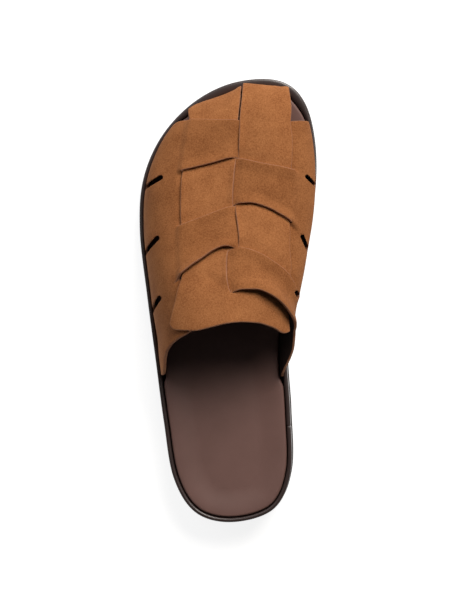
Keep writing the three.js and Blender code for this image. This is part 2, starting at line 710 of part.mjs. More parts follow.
// The slot at one side between two bands, cut from the rim or the overhang up
function slotCutter({ x, y, mouthX, mouthY }) {
  const closed = new THREE.Vector2(x, y);
  const mouth = new THREE.Vector2(mouthX, mouthY);
  const run = mouth.clone().sub(closed);
  const far = closed.clone().addScaledVector(run, SLOT_REACH);
  const wide = new THREE.Vector2(-run.y, run.x).normalize().multiplyScalar(SLOT_WIDTH / 2);
  const outer = x < 0;
  const narrow = wide.clone().multiplyScalar(outer ? 1 : INNER_MOUTH_WIDTH / SLOT_WIDTH);
  const start = Math.atan2(wide.y, wide.x);
  const round = steps(SLOT_FACETS).map((part) => {
    const angle = start + Math.PI * part;
    const spoke = new THREE.Vector2(Math.cos(angle), Math.sin(angle));
    return spoke.multiplyScalar(SLOT_WIDTH / 2).add(closed);
  });
  const outline = [...round, far.clone().sub(narrow), far.clone().add(narrow)];
  const above = SLOT_FLOOR + (outer ? 0 : INNER_SLOT_FLOOR * upperAt("ridge", y));
  return prism(outline, soleAt("rim", y) + above, SLOT_TOP);
}

// The woven upper, one wall with its bands and straps raised where they cross
function makeUpper() {
  let upper = crossBands();
  upper = upper.add(strapFront("outer", "middle", 0)).add(strapFront("middle", "inner", BAND_LIFT));
  for (let band = 0; band < 4; band++) {
    const bandTakesOuter = band % 2 === 0;
    upper = upper.add(bandOver(band, bandTakesOuter)).add(strapOver(band, !bandTakesOuter));
  }
  upper = upper.add(makeTongue());
  for (const slot of SLOTS) upper = upper.subtract(slotCutter(slot));
  return upper;
}

// Triangles of a solid's biggest shell, without the small voids that joined sheets enclose
function mainShell(vertexCount, triVerts) {
  const leader = Array.from({ length: vertexCount }, (_, i) => i);
  const shellOf = (vertex) => {
    while (leader[vertex] !== vertex) {
      leader[vertex] = leader[leader[vertex]];
      vertex = leader[vertex];
    }
    return vertex;
  };
  for (let i = 0; i < triVerts.length; i += 3) {
    leader[shellOf(triVerts[i])] = shellOf(triVerts[i + 1]);
    leader[shellOf(triVerts[i + 1])] = shellOf(triVerts[i + 2]);
  }
  const shells = new Map();
  for (let i = 0; i < triVerts.length; i += 3) {
    const shell = shellOf(triVerts[i]);
    if (!shells.has(shell)) shells.set(shell, []);
    shells.get(shell).push(triVerts[i], triVerts[i + 1], triVerts[i + 2]);
  }
  return [...shells.values()].reduce((a, b) => (b.length > a.length ? b : a));
}

// Names each solid and gives it its colour
function meshOf(name, solid, colour, roughness) {
  const result = solid.getMesh();
  const geometry = new THREE.BufferGeometry();
  geometry.setAttribute("position", new THREE.BufferAttribute(result.vertProperties, 3));
  const triangles = mainShell(result.vertProperties.length / 3, result.triVerts);
  geometry.setIndex(new THREE.BufferAttribute(new Uint32Array(triangles), 1));
  geometry.computeVertexNormals();
  const mesh = new THREE.Mesh(
    geometry,
    new THREE.MeshStandardMaterial({ color: colour, roughness, metalness: 0 }),
  );
  mesh.name = name;
  return mesh;
}

const mule = new THREE.Group();
mule.add(meshOf("outsole", makeOutsole(), 0x231b19, 0.75));
mule.add(meshOf("midsole", makeMidsole(), 0x3a2c28, 0.45));
mule.add(meshOf("insole", makeInsole(), 0x5c443d, 0.5));
mule.add(meshOf("upper", makeUpper(), 0xa5673c, 0.95));

export default mule;
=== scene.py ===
"""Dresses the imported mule: a left shoe with a woven suede upper on a leather-wrapped footbed.

Sizes are in millimetres in the CAD frame (+Y toe, +X big-toe side, +Z up) and become metres only
where a mesh is made.
"""

from __future__ import annotations

import logging
import math
from dataclasses import dataclass, field, replace
from enum import Enum, IntEnum
from typing import Any, Callable, Sequence

import bpy
import numpy as np
from mathutils import Matrix, Vector

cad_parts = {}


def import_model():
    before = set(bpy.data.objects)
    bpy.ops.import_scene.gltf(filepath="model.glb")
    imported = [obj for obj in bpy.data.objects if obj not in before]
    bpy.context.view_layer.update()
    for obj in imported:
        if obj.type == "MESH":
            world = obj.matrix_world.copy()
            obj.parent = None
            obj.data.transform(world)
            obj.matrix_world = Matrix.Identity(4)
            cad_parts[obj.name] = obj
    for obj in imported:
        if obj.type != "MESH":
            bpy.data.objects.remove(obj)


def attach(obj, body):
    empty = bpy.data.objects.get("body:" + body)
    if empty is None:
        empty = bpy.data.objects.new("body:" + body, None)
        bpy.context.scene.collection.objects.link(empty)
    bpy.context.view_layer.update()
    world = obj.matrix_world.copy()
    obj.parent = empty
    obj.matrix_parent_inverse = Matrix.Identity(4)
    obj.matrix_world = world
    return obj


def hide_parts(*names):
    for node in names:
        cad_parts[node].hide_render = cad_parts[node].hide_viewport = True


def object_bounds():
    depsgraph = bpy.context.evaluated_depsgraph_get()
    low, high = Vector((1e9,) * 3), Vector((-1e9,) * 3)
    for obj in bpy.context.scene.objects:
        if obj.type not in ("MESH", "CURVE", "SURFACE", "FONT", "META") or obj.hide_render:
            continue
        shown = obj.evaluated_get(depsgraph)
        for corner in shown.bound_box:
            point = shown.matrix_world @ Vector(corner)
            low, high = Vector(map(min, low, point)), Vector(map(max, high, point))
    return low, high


LOG = logging.getLogger("mule")
Array = np.ndarray
Height = Callable[[Array, Array], Array]
MM = 0.001


class Slot(str, Enum):
    """The record's material slots."""

    OUTSOLE = "outsole_rubber"
    WRAP = "wrap_leather"
    INSOLE = "insole_leather"
    SUEDE = "suede"


class Side(IntEnum):
    """The two straps that run down the foot."""

    OUTER = 0
    INNER = 1


# ---- small mathematics


def smoothstep(low: float, high: float, value: Array) -> Array:
    """Eases from 0 at low to 1 at high."""
    t = np.clip((value - low) / (high - low), 0.0, 1.0)
    return t * t * (3.0 - 2.0 * t)


def fade(distance: Array) -> Array:
    """Eases from 1 at no distance to 0 at a distance of one."""
    return 1.0 - smoothstep(0.0, 1.0, np.abs(distance))


def lerp(a: Any, b: Any, part: Any) -> Any:
    """Goes from a to b as part goes from 0 to 1."""
    return a + (b - a) * part


def between(lines: Array, which: Array, part: Array) -> Array:
    """Goes from line number which to the next one as part goes from 0 to 1."""
    return lerp(np.choose(which, lines[:-1]), np.choose(which, lines[1:]), part)


def unit(vectors: Array) -> Array:
    """Scales each vector to a length of one."""
    return vectors / np.maximum(np.linalg.norm(vectors, axis=-1, keepdims=True), 1e-9)


class Table:
    """Values that change along the shoe, eased between rows without overshoot."""

    def __init__(self, columns: str, rows: Sequence[Sequence[float]]) -> None:
        """Sorts the rows by their first column, the place.

        Args:
            columns: Names of the columns, with the place first.
            rows: Numbers, one for each column.
        """
        data = np.array(sorted(rows), float)
        self.place = data[:, 0]
        self.values = {name: data[:, i] for i, name in enumerate(columns.split())}

    def at(self, column: str, where: Array | float) -> Array:
        """Reads a column at some places.

        Args:
            column: Name of the column.
            where: Places, held to the table's ends.

        Returns:
            The values there.
        """
        x, y = self.place, self.values[column]
        run = np.diff(x)
        secant = np.diff(y) / run
        slope = np.empty_like(y)
        slope[0], slope[-1] = secant[0], secant[-1]
        total = secant[:-1] + secant[1:]
        product = secant[:-1] * secant[1:]
        safe = np.where(product > 0, total, 1.0)
        slope[1:-1] = np.where(product > 0, 2.0 * product / safe, 0.0)
        place = np.clip(where, x[0], x[-1])
        i = np.clip(np.searchsorted(x, place, side="right") - 1, 0, len(x) - 2)
        t = (place - x[i]) / run[i]
        ease = t * t * (3.0 - 2.0 * t)
        lead = t * (1.0 - t) ** 2 * slope[i] * run[i]
        trail = t * t * (1.0 - t) * slope[i + 1] * run[i]
        return y[i] + (y[i + 1] - y[i]) * ease + lead - trail


# ---- sizes shared with the CAD source

# Plan of the sole, clockwise from above, from the heel tip round the outer side
OUTLINE = (
    (4.0, -143.0), (-20.0, -137.0), (-34.5, -114.5), (-41.0, -77.5), (-46.5, -36.5),
    (-52.0, 3.5), (-57.0, 45.0), (-55.0, 77.5), (-43.2, 105.3), (-22.0, 127.5),
    (4.8, 140.2), (34.0, 141.0), (50.7, 126.6), (57.5, 94.0), (54.7, 53.0),
    (44.5, 7.0), (39.2, -30.5), (41.3, -71.0), (41.7, -110.0), (30.6, -134.3),
)
OUTLINE_STEPS = 40

# Underside, top of the outsole, top of the rim
SOLE = Table("y under join rim", (
    (-143, 0.0, 9.0, 26.0), (-62, 0.0, 9.0, 25.8), (-52, 2.6, 8.8, 25.7), (-22, 3.4, 8.2, 25.0),
    (12, 1.2, 7.0, 22.8), (34, 0.0, 6.4, 20.6), (62, 0.0, 6.2, 18.7), (90, 0.9, 7.2, 18.9),
    (116, 3.9, 10.2, 21.1), (143, 8.2, 14.4, 25.0),
))

# Height of the upper's ridge, reach of its wall, lean over the rim on each side, and tilt
UPPER = Table("y ridge reach outer inner skew", (
    (-48, 60.5, 39.0, 0.0, 8.5, 0.10), (-36, 60.5, 39.0, 0.0, 14.0, 0.10),
    (-20, 59.5, 39.0, 0.0, 10.8, 0.10), (-5, 56.5, 39.0, 0.0, 9.5, 0.10),
    (15, 50.5, 38.0, 0.0, 10.1, 0.10), (40, 42.5, 36.0, 0.0, 8.2, 0.10),
    (65, 35.5, 33.0, 0.0, 6.8, 0.12), (90, 29.5, 29.0, 1.0, 4.8, 0.14),
    (116, 24.5, 25.0, 2.0, 3.2, 0.12), (143, 20.0, 23.0, 2.0, 2.5, 0.10),
))
SQUARENESS = 2.2

# How far the straps bulge forward over their foot at the toe, by distance across the foot
TOE_LEAN = Table("x lean", (
    (-23, 9.5), (-14, 4.4), (-6, 2.0), (0, 1.3), (5, 2.2), (9.5, 4.2), (12, 3.9), (19, 2.8),
    (27, 2.0), (34, 3.0), (40, 7.4),
))
TOE_BLEND = (112.0, 126.0)

# Ends of the cross bands by turn, from the outer seam line (0) round to the inner (1)
BAND_ENDS = Table("turn front rear", (
    (0.00, 108.5, -47.5), (0.06, 110.0, -47.2), (0.12, 111.3, -46.0), (0.15, 112.0, -42.0),
    (0.18, 112.3, -35.2), (0.22, 112.5, -30.0), (0.26, 112.6, -26.6), (0.30, 112.7, -23.8),
    (0.37, 112.7, -19.5), (0.47, 112.7, -8.0), (0.57, 112.7, 3.6), (0.62, 112.4, 5.6),
    (0.67, 112.2, 5.6), (0.72, 112.1, 3.0), (0.77, 112.1, -2.0), (0.82, 112.2, -10.0),
    (0.85, 112.2, -14.5), (0.89, 112.2, -22.5), (0.93, 112.0, -34.0), (0.97, 111.2, -44.5),
    (1.00, 109.5, -48.5),
))

# The three slits between the four cross bands
SLITS = Table("turn first second third", (
    (0.20, 76.8, 37.4, 0.6), (0.33, 81.0, 45.4, 12.9), (0.43, 84.8, 51.3, 23.3),
    (0.53, 88.7, 57.6, 31.8), (0.57, 87.6, 59.3, 31.8), (0.61, 86.2, 59.5, 31.2),
    (0.67, 84.4, 57.3, 28.7), (0.74, 82.8, 52.7, 23.3), (0.78, 81.3, 49.2, 19.2),
    (0.85, 77.3, 40.0, 4.8),
))

# Long edges of the two straps, as turns, and the same ahead of the bands, as distances across
STRAPS = Table("y outer middle inner", (
    (113, 0.250, 0.503, 0.771), (88, 0.311, 0.532, 0.768), (58, 0.336, 0.546, 0.775),
    (33, 0.345, 0.578, 0.787), (29, 0.346, 0.546, 0.792), (14, 0.350, 0.554, 0.807),
    (4, 0.334, 0.569, 0.815), (-18, 0.279, 0.580, 0.835),
))
STRAP_TOES = Table("y outer middle inner", (
    (140, -22.8, 11.0, 39.3), (126, -22.3, 10.2, 39.6), (113, -21.3, 8.9, 39.8),
    (100, -21.3, 8.4, 39.8),
))

# Rear end of the tongue
TONGUE = Table("turn rear", (
    (0.280, -13.5), (0.310, -18.0), (0.400, -18.6), (0.490, -16.3), (0.580, -13.7),
    (0.630, -13.1), (0.700, -13.4), (0.760, -15.7), (0.810, -19.2), (0.835, -18.0),
))

# The six open slots at the sides: closed end, then the mouth at the wall
SLOTS = (
    (-40.9, 77.5, -50.3, 72.9), (-42.3, 38.8, -50.4, 31.2), (-40.5, 1.1, -46.5, -6.6),
    (51.8, 77.6, 56.5, 73.0), (48.9, 39.7, 51.7, 32.9), (45.4, 4.6, 48.2, -1.2),
)

# How far the slits run on beyond the two straps, as turns
TAILS = Table("y outer inner", ((78, 0.002, 0.012), (44, 0.020, 0.003), (10, 0.045, 0.020)))

CLEARANCE = 0.3
WALL = 2.0
RIM_WIDTH = 3.2
TOE_RIM = (3.0, 112.0, 134.0)
LEDGE_DEPTH = 6.5
SEAM_RISE = 0.8
WRAP_INSET = 0.5


def rim_width(y: Array) -> Array:
    """Gives the width of the raised rim, which grows round the toe."""
    extra, start, end = TOE_RIM
    return RIM_WIDTH + extra * smoothstep(start, end, y)


# ---- plan and last

# Station from which the outline counts as the toe
TOE_FROM = 100.0
# How many places are measured against the outline at once
CHUNK = 2000


@dataclass(frozen=True)
class Outline:
    """A closed outline in plan, clockwise from above.

    Attributes:
        points: Places on it.
        normals: Directions out of it at those places.
    """

    points: Array
    normals: Array

    @classmethod
    def of_sole(cls) -> "Outline":
        """Makes the smooth closed curve through the sole's points."""
        knots = np.array(OUTLINE)
        before, after = np.roll(knots, 1, 0), np.roll(knots, -1, 0)
        beyond = np.roll(knots, -2, 0)
        t = (np.arange(OUTLINE_STEPS) / OUTLINE_STEPS)[None, :, None]
        lead = ((after - before) / 2)[:, None]
        trail = ((beyond - knots) / 2)[:, None]
        a, b = knots[:, None], after[:, None]
        curve = (
            a + lead * t + (3 * (b - a) - 2 * lead - trail) * t**2
            + (2 * (a - b) + lead + trail) * t**3
        )
        points = curve.reshape(-1, 2)
        along = np.roll(points, -1, 0) - np.roll(points, 1, 0)
        return cls(points, unit(np.stack([-along[:, 1], along[:, 0]], 1)))

    def moved(self, inset: float | Height) -> "Outline":
        """Moves the outline inwards.

        Args:
            inset: How far, or a function of x and y that says how far.

        Returns:
            The smaller outline.
        """
        distance = inset(*self.points.T) if callable(inset) else inset
        distance = np.broadcast_to(distance, len(self.points))[:, None]
        return Outline(self.points - self.normals * distance, self.normals)

    def _sides(self) -> tuple[Array, Array]:
        """Gives the outer and the inner side, both from the heel to the toe."""
        points = np.roll(self.points, -int(self.points[:, 1].argmin()), 0)
        toe = int(points[:, 1].argmax())
        return points[: toe + 1], np.vstack([points[toe:], points[:1]])[::-1]

    def span(self, y: Array) -> tuple[Array, Array]:
        """Gives x on the outer and on the inner side at stations along the foot."""
        outer, inner = self._sides()
        return (
            np.interp(y, np.maximum.accumulate(outer[:, 1]), outer[:, 0]),
            np.interp(y, np.maximum.accumulate(inner[:, 1]), inner[:, 0]),
        )

    def front_at(self, x: Array) -> Array:
        """Gives the furthest y forward on lines along the foot."""
        toe = self.points[self.points[:, 1] > TOE_FROM]
        toe = toe[np.argsort(toe[:, 0])]
        return np.interp(x, toe[:, 0], toe[:, 1])

    def inwards(self, x: Array, y: Array) -> tuple[Array, Array]:
        """Measures places against the outline.

        Args:
            x: Distances across the foot.
            y: Stations along it.

        Returns:
            The distance in from the outline, 0 outside it, and the direction out at the nearest
            place.
        """
        start = self.points
        run = np.roll(start, -1, 0) - start
        squared = (run**2).sum(1)
        places = np.stack([np.ravel(x), np.ravel(y)], 1)
        following = np.roll(self.normals, -1, 0)
        distances, outs = [], []
        for chunk in np.array_split(places, max(1, len(places) // CHUNK)):
            rel = chunk[:, None] - start
            t = np.clip((rel * run).sum(-1) / squared, 0.0, 1.0)
            off = run * t[..., None] - rel
            nearest = (off**2).sum(-1).argmin(1)
            rows = np.arange(len(chunk))
            part = t[rows, nearest][:, None]
            out = unit(lerp(self.normals[nearest], following[nearest], part))
            gap = off[rows, nearest]
            inside = (gap * out).sum(1) > 0
            distances.append(np.where(inside, np.linalg.norm(gap, axis=1), 0.0))
            outs.append(out)
        shape = np.shape(x)
        return np.concatenate(distances).reshape(shape), np.concatenate(outs).reshape(*shape, 2)

    def loop(self, stations: Array, height: Callable[[Array], Array]) -> Array:
        """Places points round the outline in pairs that face each other across the foot.

        Args:
            stations: Shares of the length, rising between 0 and 1.
            height: Height at a station.

        Returns:
            The heel tip, the outer side, the toe tip and the inner side back to the heel.
        """
        outer = self._sides()[0]
        heel, toe = outer[0], outer[-1]
        y = lerp(heel[1], toe[1], stations)
        left, right = self.span(y)
        plan = np.vstack([
            heel, np.stack([left, y], 1), toe, np.stack([right, y], 1)[::-1],
        ])
        return np.column_stack([plan, height(plan[:, 1])])


class Last:
    """The form that the upper is stretched over."""

    last_station: float = 134.0
    turn_limits: tuple[float, float] = (0.05, 0.95)

    def __init__(self) -> None:
        """Takes the seam line from the sole's outline."""
        foot = CLEARANCE + WALL / 2
        self.seam = Outline.of_sole().moved(lambda x, y: rim_width(y) + foot)

    def surface(self, x: Array, y: Array) -> Array:
        """Finds the middle of the upper's wall over places in plan.

        Args:
            x: Distances across the foot.
            y: Stations along it.

        Returns:
            Points, with one more axis for x, y and z.
        """
        distance, out = self.seam.inwards(x, y)
        rho = np.minimum(distance / UPPER.at("reach", y), 1.0)
        rise = (1.0 - (1.0 - rho) ** SQUARENESS) ** (1.0 / SQUARENESS)
        left, right = self.seam.span(np.clip(y, -self.last_station, self.last_station))
        across = np.clip((2.0 * x - left - right) / (right - left), -1.0, 1.0)
        furthest = lerp(UPPER.at("outer", y), UPPER.at("inner", y), smoothstep(-1.0, 1.0, across))
        at_toe = smoothstep(*TOE_BLEND, y)
        lean = lerp(furthest, TOE_LEAN.at("lean", x), at_toe) * np.sin(np.pi * rise) ** 2
        ridge = UPPER.at("ridge", y) * (1.0 + UPPER.at("skew", y) * across)
        z = SOLE.at("rim", y) + SEAM_RISE + ridge * rise
        forward = lerp(out[..., 1], 1.0, at_toe)
        return np.stack([x + out[..., 0] * lean * (1.0 - at_toe), y + forward * lean, z], -1)

    def x_of_turn(self, turn: Array, y: Array) -> Array:
        """Gives the distance across the foot of a turn at a station."""
        left, right = self.seam.span(y)
        return lerp(left, right, (1.0 - np.cos(np.pi * np.clip(turn, 0.0, 1.0))) / 2.0)

    def per_turn(self, turn: Array, y: Array) -> Array:
        """Gives how many millimetres across the foot one turn is worth."""
        left, right = self.seam.span(y)
        held = np.clip(turn, *self.turn_limits)
        return (right - left) * (math.pi / 2.0) * np.sin(np.pi * held)


# ---- meshes


def linked(name: str, data: bpy.types.ID) -> bpy.types.Object:
    """Makes an object and links it to the scene."""
    made = bpy.data.objects.new(name, data)
    bpy.context.scene.collection.objects.link(made)
    return made


@dataclass
class MeshPlan:
    """Points in millimetres, faces, and which material each face has."""

    points: Array
    faces: list[tuple[int, ...]]
    finish: list[int]

    def volume(self) -> float:
        """Gives the enclosed volume, below 0 if the faces look inwards."""
        total = 0.0
        for face in self.faces:
            a = self.points[face[0]]
            for b, c in zip(face[1:-1], face[2:]):
                total += float(np.dot(a, np.cross(self.points[b], self.points[c])))
        return total / 6.0

    def object(self, name: str, materials: Sequence[bpy.types.Material]) -> bpy.types.Object:
        """Makes the Blender object, in metres, with its faces looking outwards.

        Args:
            name: Name of the piece.
            materials: Materials in the order of the finish numbers.

        Returns:
            The linked object.
        """
        faces = self.faces if self.volume() > 0 else [face[::-1] for face in self.faces]
        mesh = bpy.data.meshes.new(name)
        mesh.from_pydata((self.points * MM).tolist(), [], faces)
        mesh.polygons.foreach_set("material_index", self.finish)
        mesh.polygons.foreach_set("use_smooth", [True] * len(faces))
        for material in materials:
            mesh.materials.append(material)
        mesh.update()
        return linked(name, mesh)


def loft(loops: Sequence[Array], rungs: int, low: Height, high: Height) -> MeshPlan:
    """Stacks loops into a closed solid.

    Args:
        loops: Loops of Outline.loop, from the lowest face round the sides to the highest.
        rungs: How many steps the two end faces take across the foot.
        low: Height of the lowest face at x, y.
        high: Height of the highest face at x, y.

    Returns:
        The closed solid.
    """
    size = len(loops[0])
    half = size // 2
    blocks = [np.asarray(loop) for loop in loops]
    faces: list[tuple[int, ...]] = []
    for k in range(len(loops) - 1):
        for i in range(size):
            j = (i + 1) % size
            faces.append((k * size + i, (k + 1) * size + i, (k + 1) * size + j, k * size + j))
    count = size * len(loops)
    for start, height, up in ((0, low, False), ((len(loops) - 1) * size, high, True)):
        edge = blocks[start // size]
        left = edge[1:half]
        right = edge[:half:-1]
        part = (np.arange(1, rungs) / rungs)[None, :, None]
        inner = lerp(left[:, None], right[:, None], part)
        inner[..., 2] = height(inner[..., 0], inner[..., 1])
        ids = np.empty((half - 1, rungs + 1), int)
        ids[:, 0] = start + np.arange(1, half)
        ids[:, -1] = start + size - np.arange(1, half)
        ids[:, 1:-1] = count + np.arange(inner[..., 0].size).reshape(half - 1, rungs - 1)
        blocks.append(inner.reshape(-1, 3))
        count += len(blocks[-1])
        cap: list[tuple[int, ...]] = []
        for j in range(rungs):
            cap.append((start, ids[0, j + 1], ids[0, j]))
            cap.append((start + half, ids[-1, j], ids[-1, j + 1]))
            for i in range(half - 2):
                cap.append((ids[i, j], ids[i, j + 1], ids[i + 1, j + 1], ids[i + 1, j]))
        faces += [tuple(int(v) for v in (face if up else face[::-1])) for face in cap]
    return MeshPlan(np.vstack(blocks), faces, [0] * len(faces))


def prisms(bases: Sequence[tuple[Array, float, float]], finish: int) -> MeshPlan:
    """Stands prisms on outlines in plan.

    Args:
        bases: For each prism its outline, its floor and its top.
        finish: Material number of all faces.

    Returns:
        The prisms as one plan.
    """
    points: list[list[float]] = []
    faces: list[tuple[int, ...]] = []
    for outline, floor, top in bases:
        count, base = len(outline), len(points)
        points += [[*place, z] for z in (floor, top) for place in outline]
        faces.append(tuple(base + i for i in reversed(range(count))))
        faces.append(tuple(base + count + i for i in range(count)))
        for i in range(count):
            j = (i + 1) % count
            faces.append((base + i, base + j, base + count + j, base + count + i))
    return MeshPlan(np.array(points), faces, [finish] * len(faces))


def grid_quads(index: Sequence[Array]) -> Array:
    """Gives the faces between the rows and columns of grids of point numbers."""
    return np.concatenate([
        np.stack([i[:-1, :-1], i[1:, :-1], i[1:, 1:], i[:-1, 1:]], -1).reshape(-1, 4)
        for i in index
    ])


def surface_normals(points: Array, quads: Array) -> Array:
    """Averages the directions of the faces round each point."""
    a, b, c, d = (points[quads[:, i]] for i in range(4))
    direction = np.cross(c - a, d - b)
    normals = np.zeros_like(points)
    for i in range(4):
        np.add.at(normals, quads[:, i], direction)
    return unit(normals)


# Shorter than this, the directions out of a sheet at its corner nearly cancel out
BLUNT_CORNER = 0.35


@dataclass
class Sheet:
    """A piece of leather as its middle surface.

    Attributes:
        points: Places on the middle surface.
        quads: Its faces, counter-clockwise seen from outside.
    """

    points: Array
    quads: Array

    def _edges(self) -> tuple[Array, Array]:
        """Gives the two ends of every edge that only one face has."""
        a = self.quads.ravel()
        b = np.roll(self.quads, -1, 1).ravel()
        count = len(self.points)
        free = ~np.isin(a * count + b, b * count + a)
        return a[free], b[free]

    def _outwards(self, a: Array, b: Array, normals: Array) -> Array:
        """Finds the direction out of the sheet at each point of its edge."""
        along = unit(self.points[b] - self.points[a])
        total = np.zeros_like(self.points)
        inside = np.zeros_like(self.points)
        for ends in (a, b):
            np.add.at(total, ends, np.cross(along, normals[ends]))
        np.add.at(inside, a, along)
        np.add.at(inside, b, -along)
        blunt = np.linalg.norm(total, axis=1, keepdims=True) > BLUNT_CORNER
        return np.where(blunt, unit(total), unit(inside))

    def solid(self, thickness: float, rounding: float) -> MeshPlan:
        """Gives the sheet its thickness and its rounded cut edges.

        Args:
            thickness: From the face to the lining.
            rounding: Radius of the edges.

        Returns:
            A closed solid whose finish is 0 on the face, 1 on the cut edge and 2 on the lining.
        """
        half = thickness / 2.0
        normals = surface_normals(self.points, self.quads)
        a, b = self._edges()
        out = self._outwards(a, b, normals)
        rim = np.unique(a)
        slot_of = np.full(len(self.points), -1)
        slot_of[rim] = np.arange(len(rim))
        corner = rounding * (1.0 - math.sqrt(0.5))
        profile = (
            (rounding - corner, half - corner), (rounding, half - rounding),
            (rounding, rounding - half), (rounding - corner, corner - half),
        )
        count = len(self.points)
        blocks = [self.points + normals * half, self.points - normals * half]
        blocks += [self.points[rim] + out[rim] * e + normals[rim] * n for e, n in profile]
        rows_a = [a] + [2 * count + k * len(rim) + slot_of[a] for k in range(len(profile))]
        rows_b = [b] + [2 * count + k * len(rim) + slot_of[b] for k in range(len(profile))]
        rows_a.append(a + count)
        rows_b.append(b + count)
        faces = [self.quads, self.quads[:, ::-1] + count]
        finish = [0] * len(self.quads) + [2] * len(self.quads)
        for k in range(len(rows_a) - 1):
            strip = np.stack([rows_b[k], rows_a[k], rows_a[k + 1], rows_b[k + 1]], 1)
            faces.append(strip)
            finish += [(1, 1, 1, 1, 2)[k]] * len(strip)
        every = [tuple(face) for face in np.vstack(faces).tolist()]
        return MeshPlan(np.vstack(blocks), every, finish)


# ---- materials


def linear(colour: str) -> tuple[float, float, float, float]:
    """Turns an sRGB hex value into a linear colour with full alpha."""
    parts = [int(colour[i:i + 2], 16) / 255.0 for i in (1, 3, 5)]
    turned = [c / 12.92 if c <= 0.04045 else ((c + 0.055) / 1.055) ** 2.4 for c in parts]
    return (turned[0], turned[1], turned[2], 1.0)


def per_metre(millimetres: float) -> float:
    """Gives a texture's scale on Object coordinates for a pattern of that size."""
    return 1.0 / (millimetres * MM)


def add_node(
    tree: bpy.types.NodeTree, kind: str, links: dict[Any, Any] | None = None, **settings: Any
) -> bpy.types.Node:
    """Adds a node.

    Args:
        tree: Where it goes.
        kind: Blender's name of the node's type.
        links: For each input, by name or number, a socket to link from or a value.
        **settings: The node's own properties.

    Returns:
        The node.
    """
    node = tree.nodes.new(kind)
    for name, value in settings.items():
        setattr(node, name, value)
    for key, value in (links or {}).items():
        if isinstance(value, bpy.types.NodeSocket):
            tree.links.new(value, node.inputs[key])
        else:
            node.inputs[key].default_value = value
    return node


@dataclass(frozen=True)
class Finish:
    """A leather or rubber finish: a mottled colour, a fine relief and the shader's constants.

    Attributes:
        name: What it is.
        dark: Colour of the darker mottling.
        light: Colour of the lighter mottling.
        patch: Size of the large patches, in millimetres.
        grain: Size of the fine grain, in millimetres.
        patches: How strongly the patches show, from 0 to 1.
        grains: How strongly the grain shows in the colour, from 0 to 1.
        relief: Height of the grain in the bump, in millimetres.
        roughness: Roughness of the surface.
        specular: Specular level, 0.5 for plain leather.
        sheen: Weight of the fuzz.
        sheen_colour: Colour of the fuzz.
        coat: Weight of a thin clear finish.
    """

    name: str
    dark: str
    light: str
    patch: float = 12.0
    grain: float = 0.8
    patches: float = 0.6
    grains: float = 0.4
    relief: float = 0.05
    roughness: float = 0.6
    specular: float = 0.5
    sheen: float = 0.0
    sheen_colour: str = "#ffffff"
    coat: float = 0.0

    def material(self) -> bpy.types.Material:
        """Builds the material.

        Returns:
            A node material on Object coordinates.
        """
        material = bpy.data.materials.new(self.name)
        material.use_nodes = True
        tree = material.node_tree
        tree.nodes.clear()
        place = add_node(tree, "ShaderNodeTexCoord").outputs["Object"]
        patch, grain = (
            add_node(tree, "ShaderNodeTexNoise", {
                "Vector": place, "Scale": per_metre(size), "Detail": detail, "Roughness": rough,
            })
            for size, detail, rough in ((self.patch, 5.0, 0.6), (self.grain, 3.0, 0.65))
        )
        spread, speckle = (
            add_node(tree, "ShaderNodeMapRange", {
                "Value": noise.outputs["Fac"], "From Min": 0.5 - reach, "From Max": 0.5 + reach,
                "To Min": middle - share / 2, "To Max": middle + share / 2,
            })
            for noise, reach, middle, share in (
                (patch, 0.2, 0.5, self.patches), (grain, 0.25, 0.0, self.grains),
            )
        )
        total = add_node(tree, "ShaderNodeMath", {
            0: spread.outputs["Result"], 1: speckle.outputs["Result"],
        }, operation="ADD", use_clamp=True)
        colour = add_node(tree, "ShaderNodeMix", {
            "Factor": total.outputs[0], 6: linear(self.dark), 7: linear(self.light),
        }, data_type="RGBA")
        bump = add_node(tree, "ShaderNodeBump", {
            "Height": grain.outputs["Fac"], "Strength": 1.0, "Distance": self.relief * MM,
        })
        shader = add_node(tree, "ShaderNodeBsdfPrincipled", {
            "Base Color": colour.outputs[2], "Normal": bump.outputs["Normal"],
            "Roughness": self.roughness, "Specular IOR Level": self.specular,
            "Sheen Weight": self.sheen, "Sheen Roughness": 0.5,
            "Sheen Tint": linear(self.sheen_colour), "Coat Weight": self.coat,
            "Coat Roughness": 0.25,
        })
        add_node(tree, "ShaderNodeOutputMaterial", {"Surface": shader.outputs["BSDF"]})
        return material


# Tan cow suede, buffed: no gloss, a short nap that brightens at grazing light and holds finger
# marks as soft patches. The nap is drawn at 0.9 mm, coarser than real, so that it shows
STRAP_SUEDE = Finish(
    "tan_buffed_suede", "#7b4827", "#ac7246", patch=15.0, grain=0.9, patches=0.4, grains=0.9,
    relief=0.16, roughness=0.95, specular=0.12, sheen=0.04, sheen_colour="#e0a878",
)
# The same suede made darker: painted shade for the bands, which look darker than the straps
SHADED_BAND_SUEDE = replace(STRAP_SUEDE, name="tan_suede_painted_shade", dark="#744424", light="#a26a40")
# The cut edge of that suede: raw fibre, greyer and a little darker than the face
CUT_EDGE = Finish(
    "raw_suede_edge", "#7c513a", "#ab7a5c", patch=6.0, grain=0.6, patches=0.5, grains=0.5,
    relief=0.08, roughness=0.95, specular=0.1,
)
# The upper's lining: dark brown leather, almost matt, partly painted shade for the dark inside
LINING_AND_SHADE = Finish(
    "dark_lining_and_painted_shade", "#20130f", "#33211b", patch=16.0, grain=0.8, patches=0.5, grains=0.3,
    relief=0.05, roughness=0.75, specular=0.3,
)
# Smooth brown calf leather over foam: a satin surface with a very fine pore
INSOLE_LEATHER = Finish(
    "brown_calf_insole", "#694d46", "#785952", patch=30.0, grain=0.7, patches=0.5, grains=0.15,
    relief=0.015, roughness=0.5, specular=0.45,
)
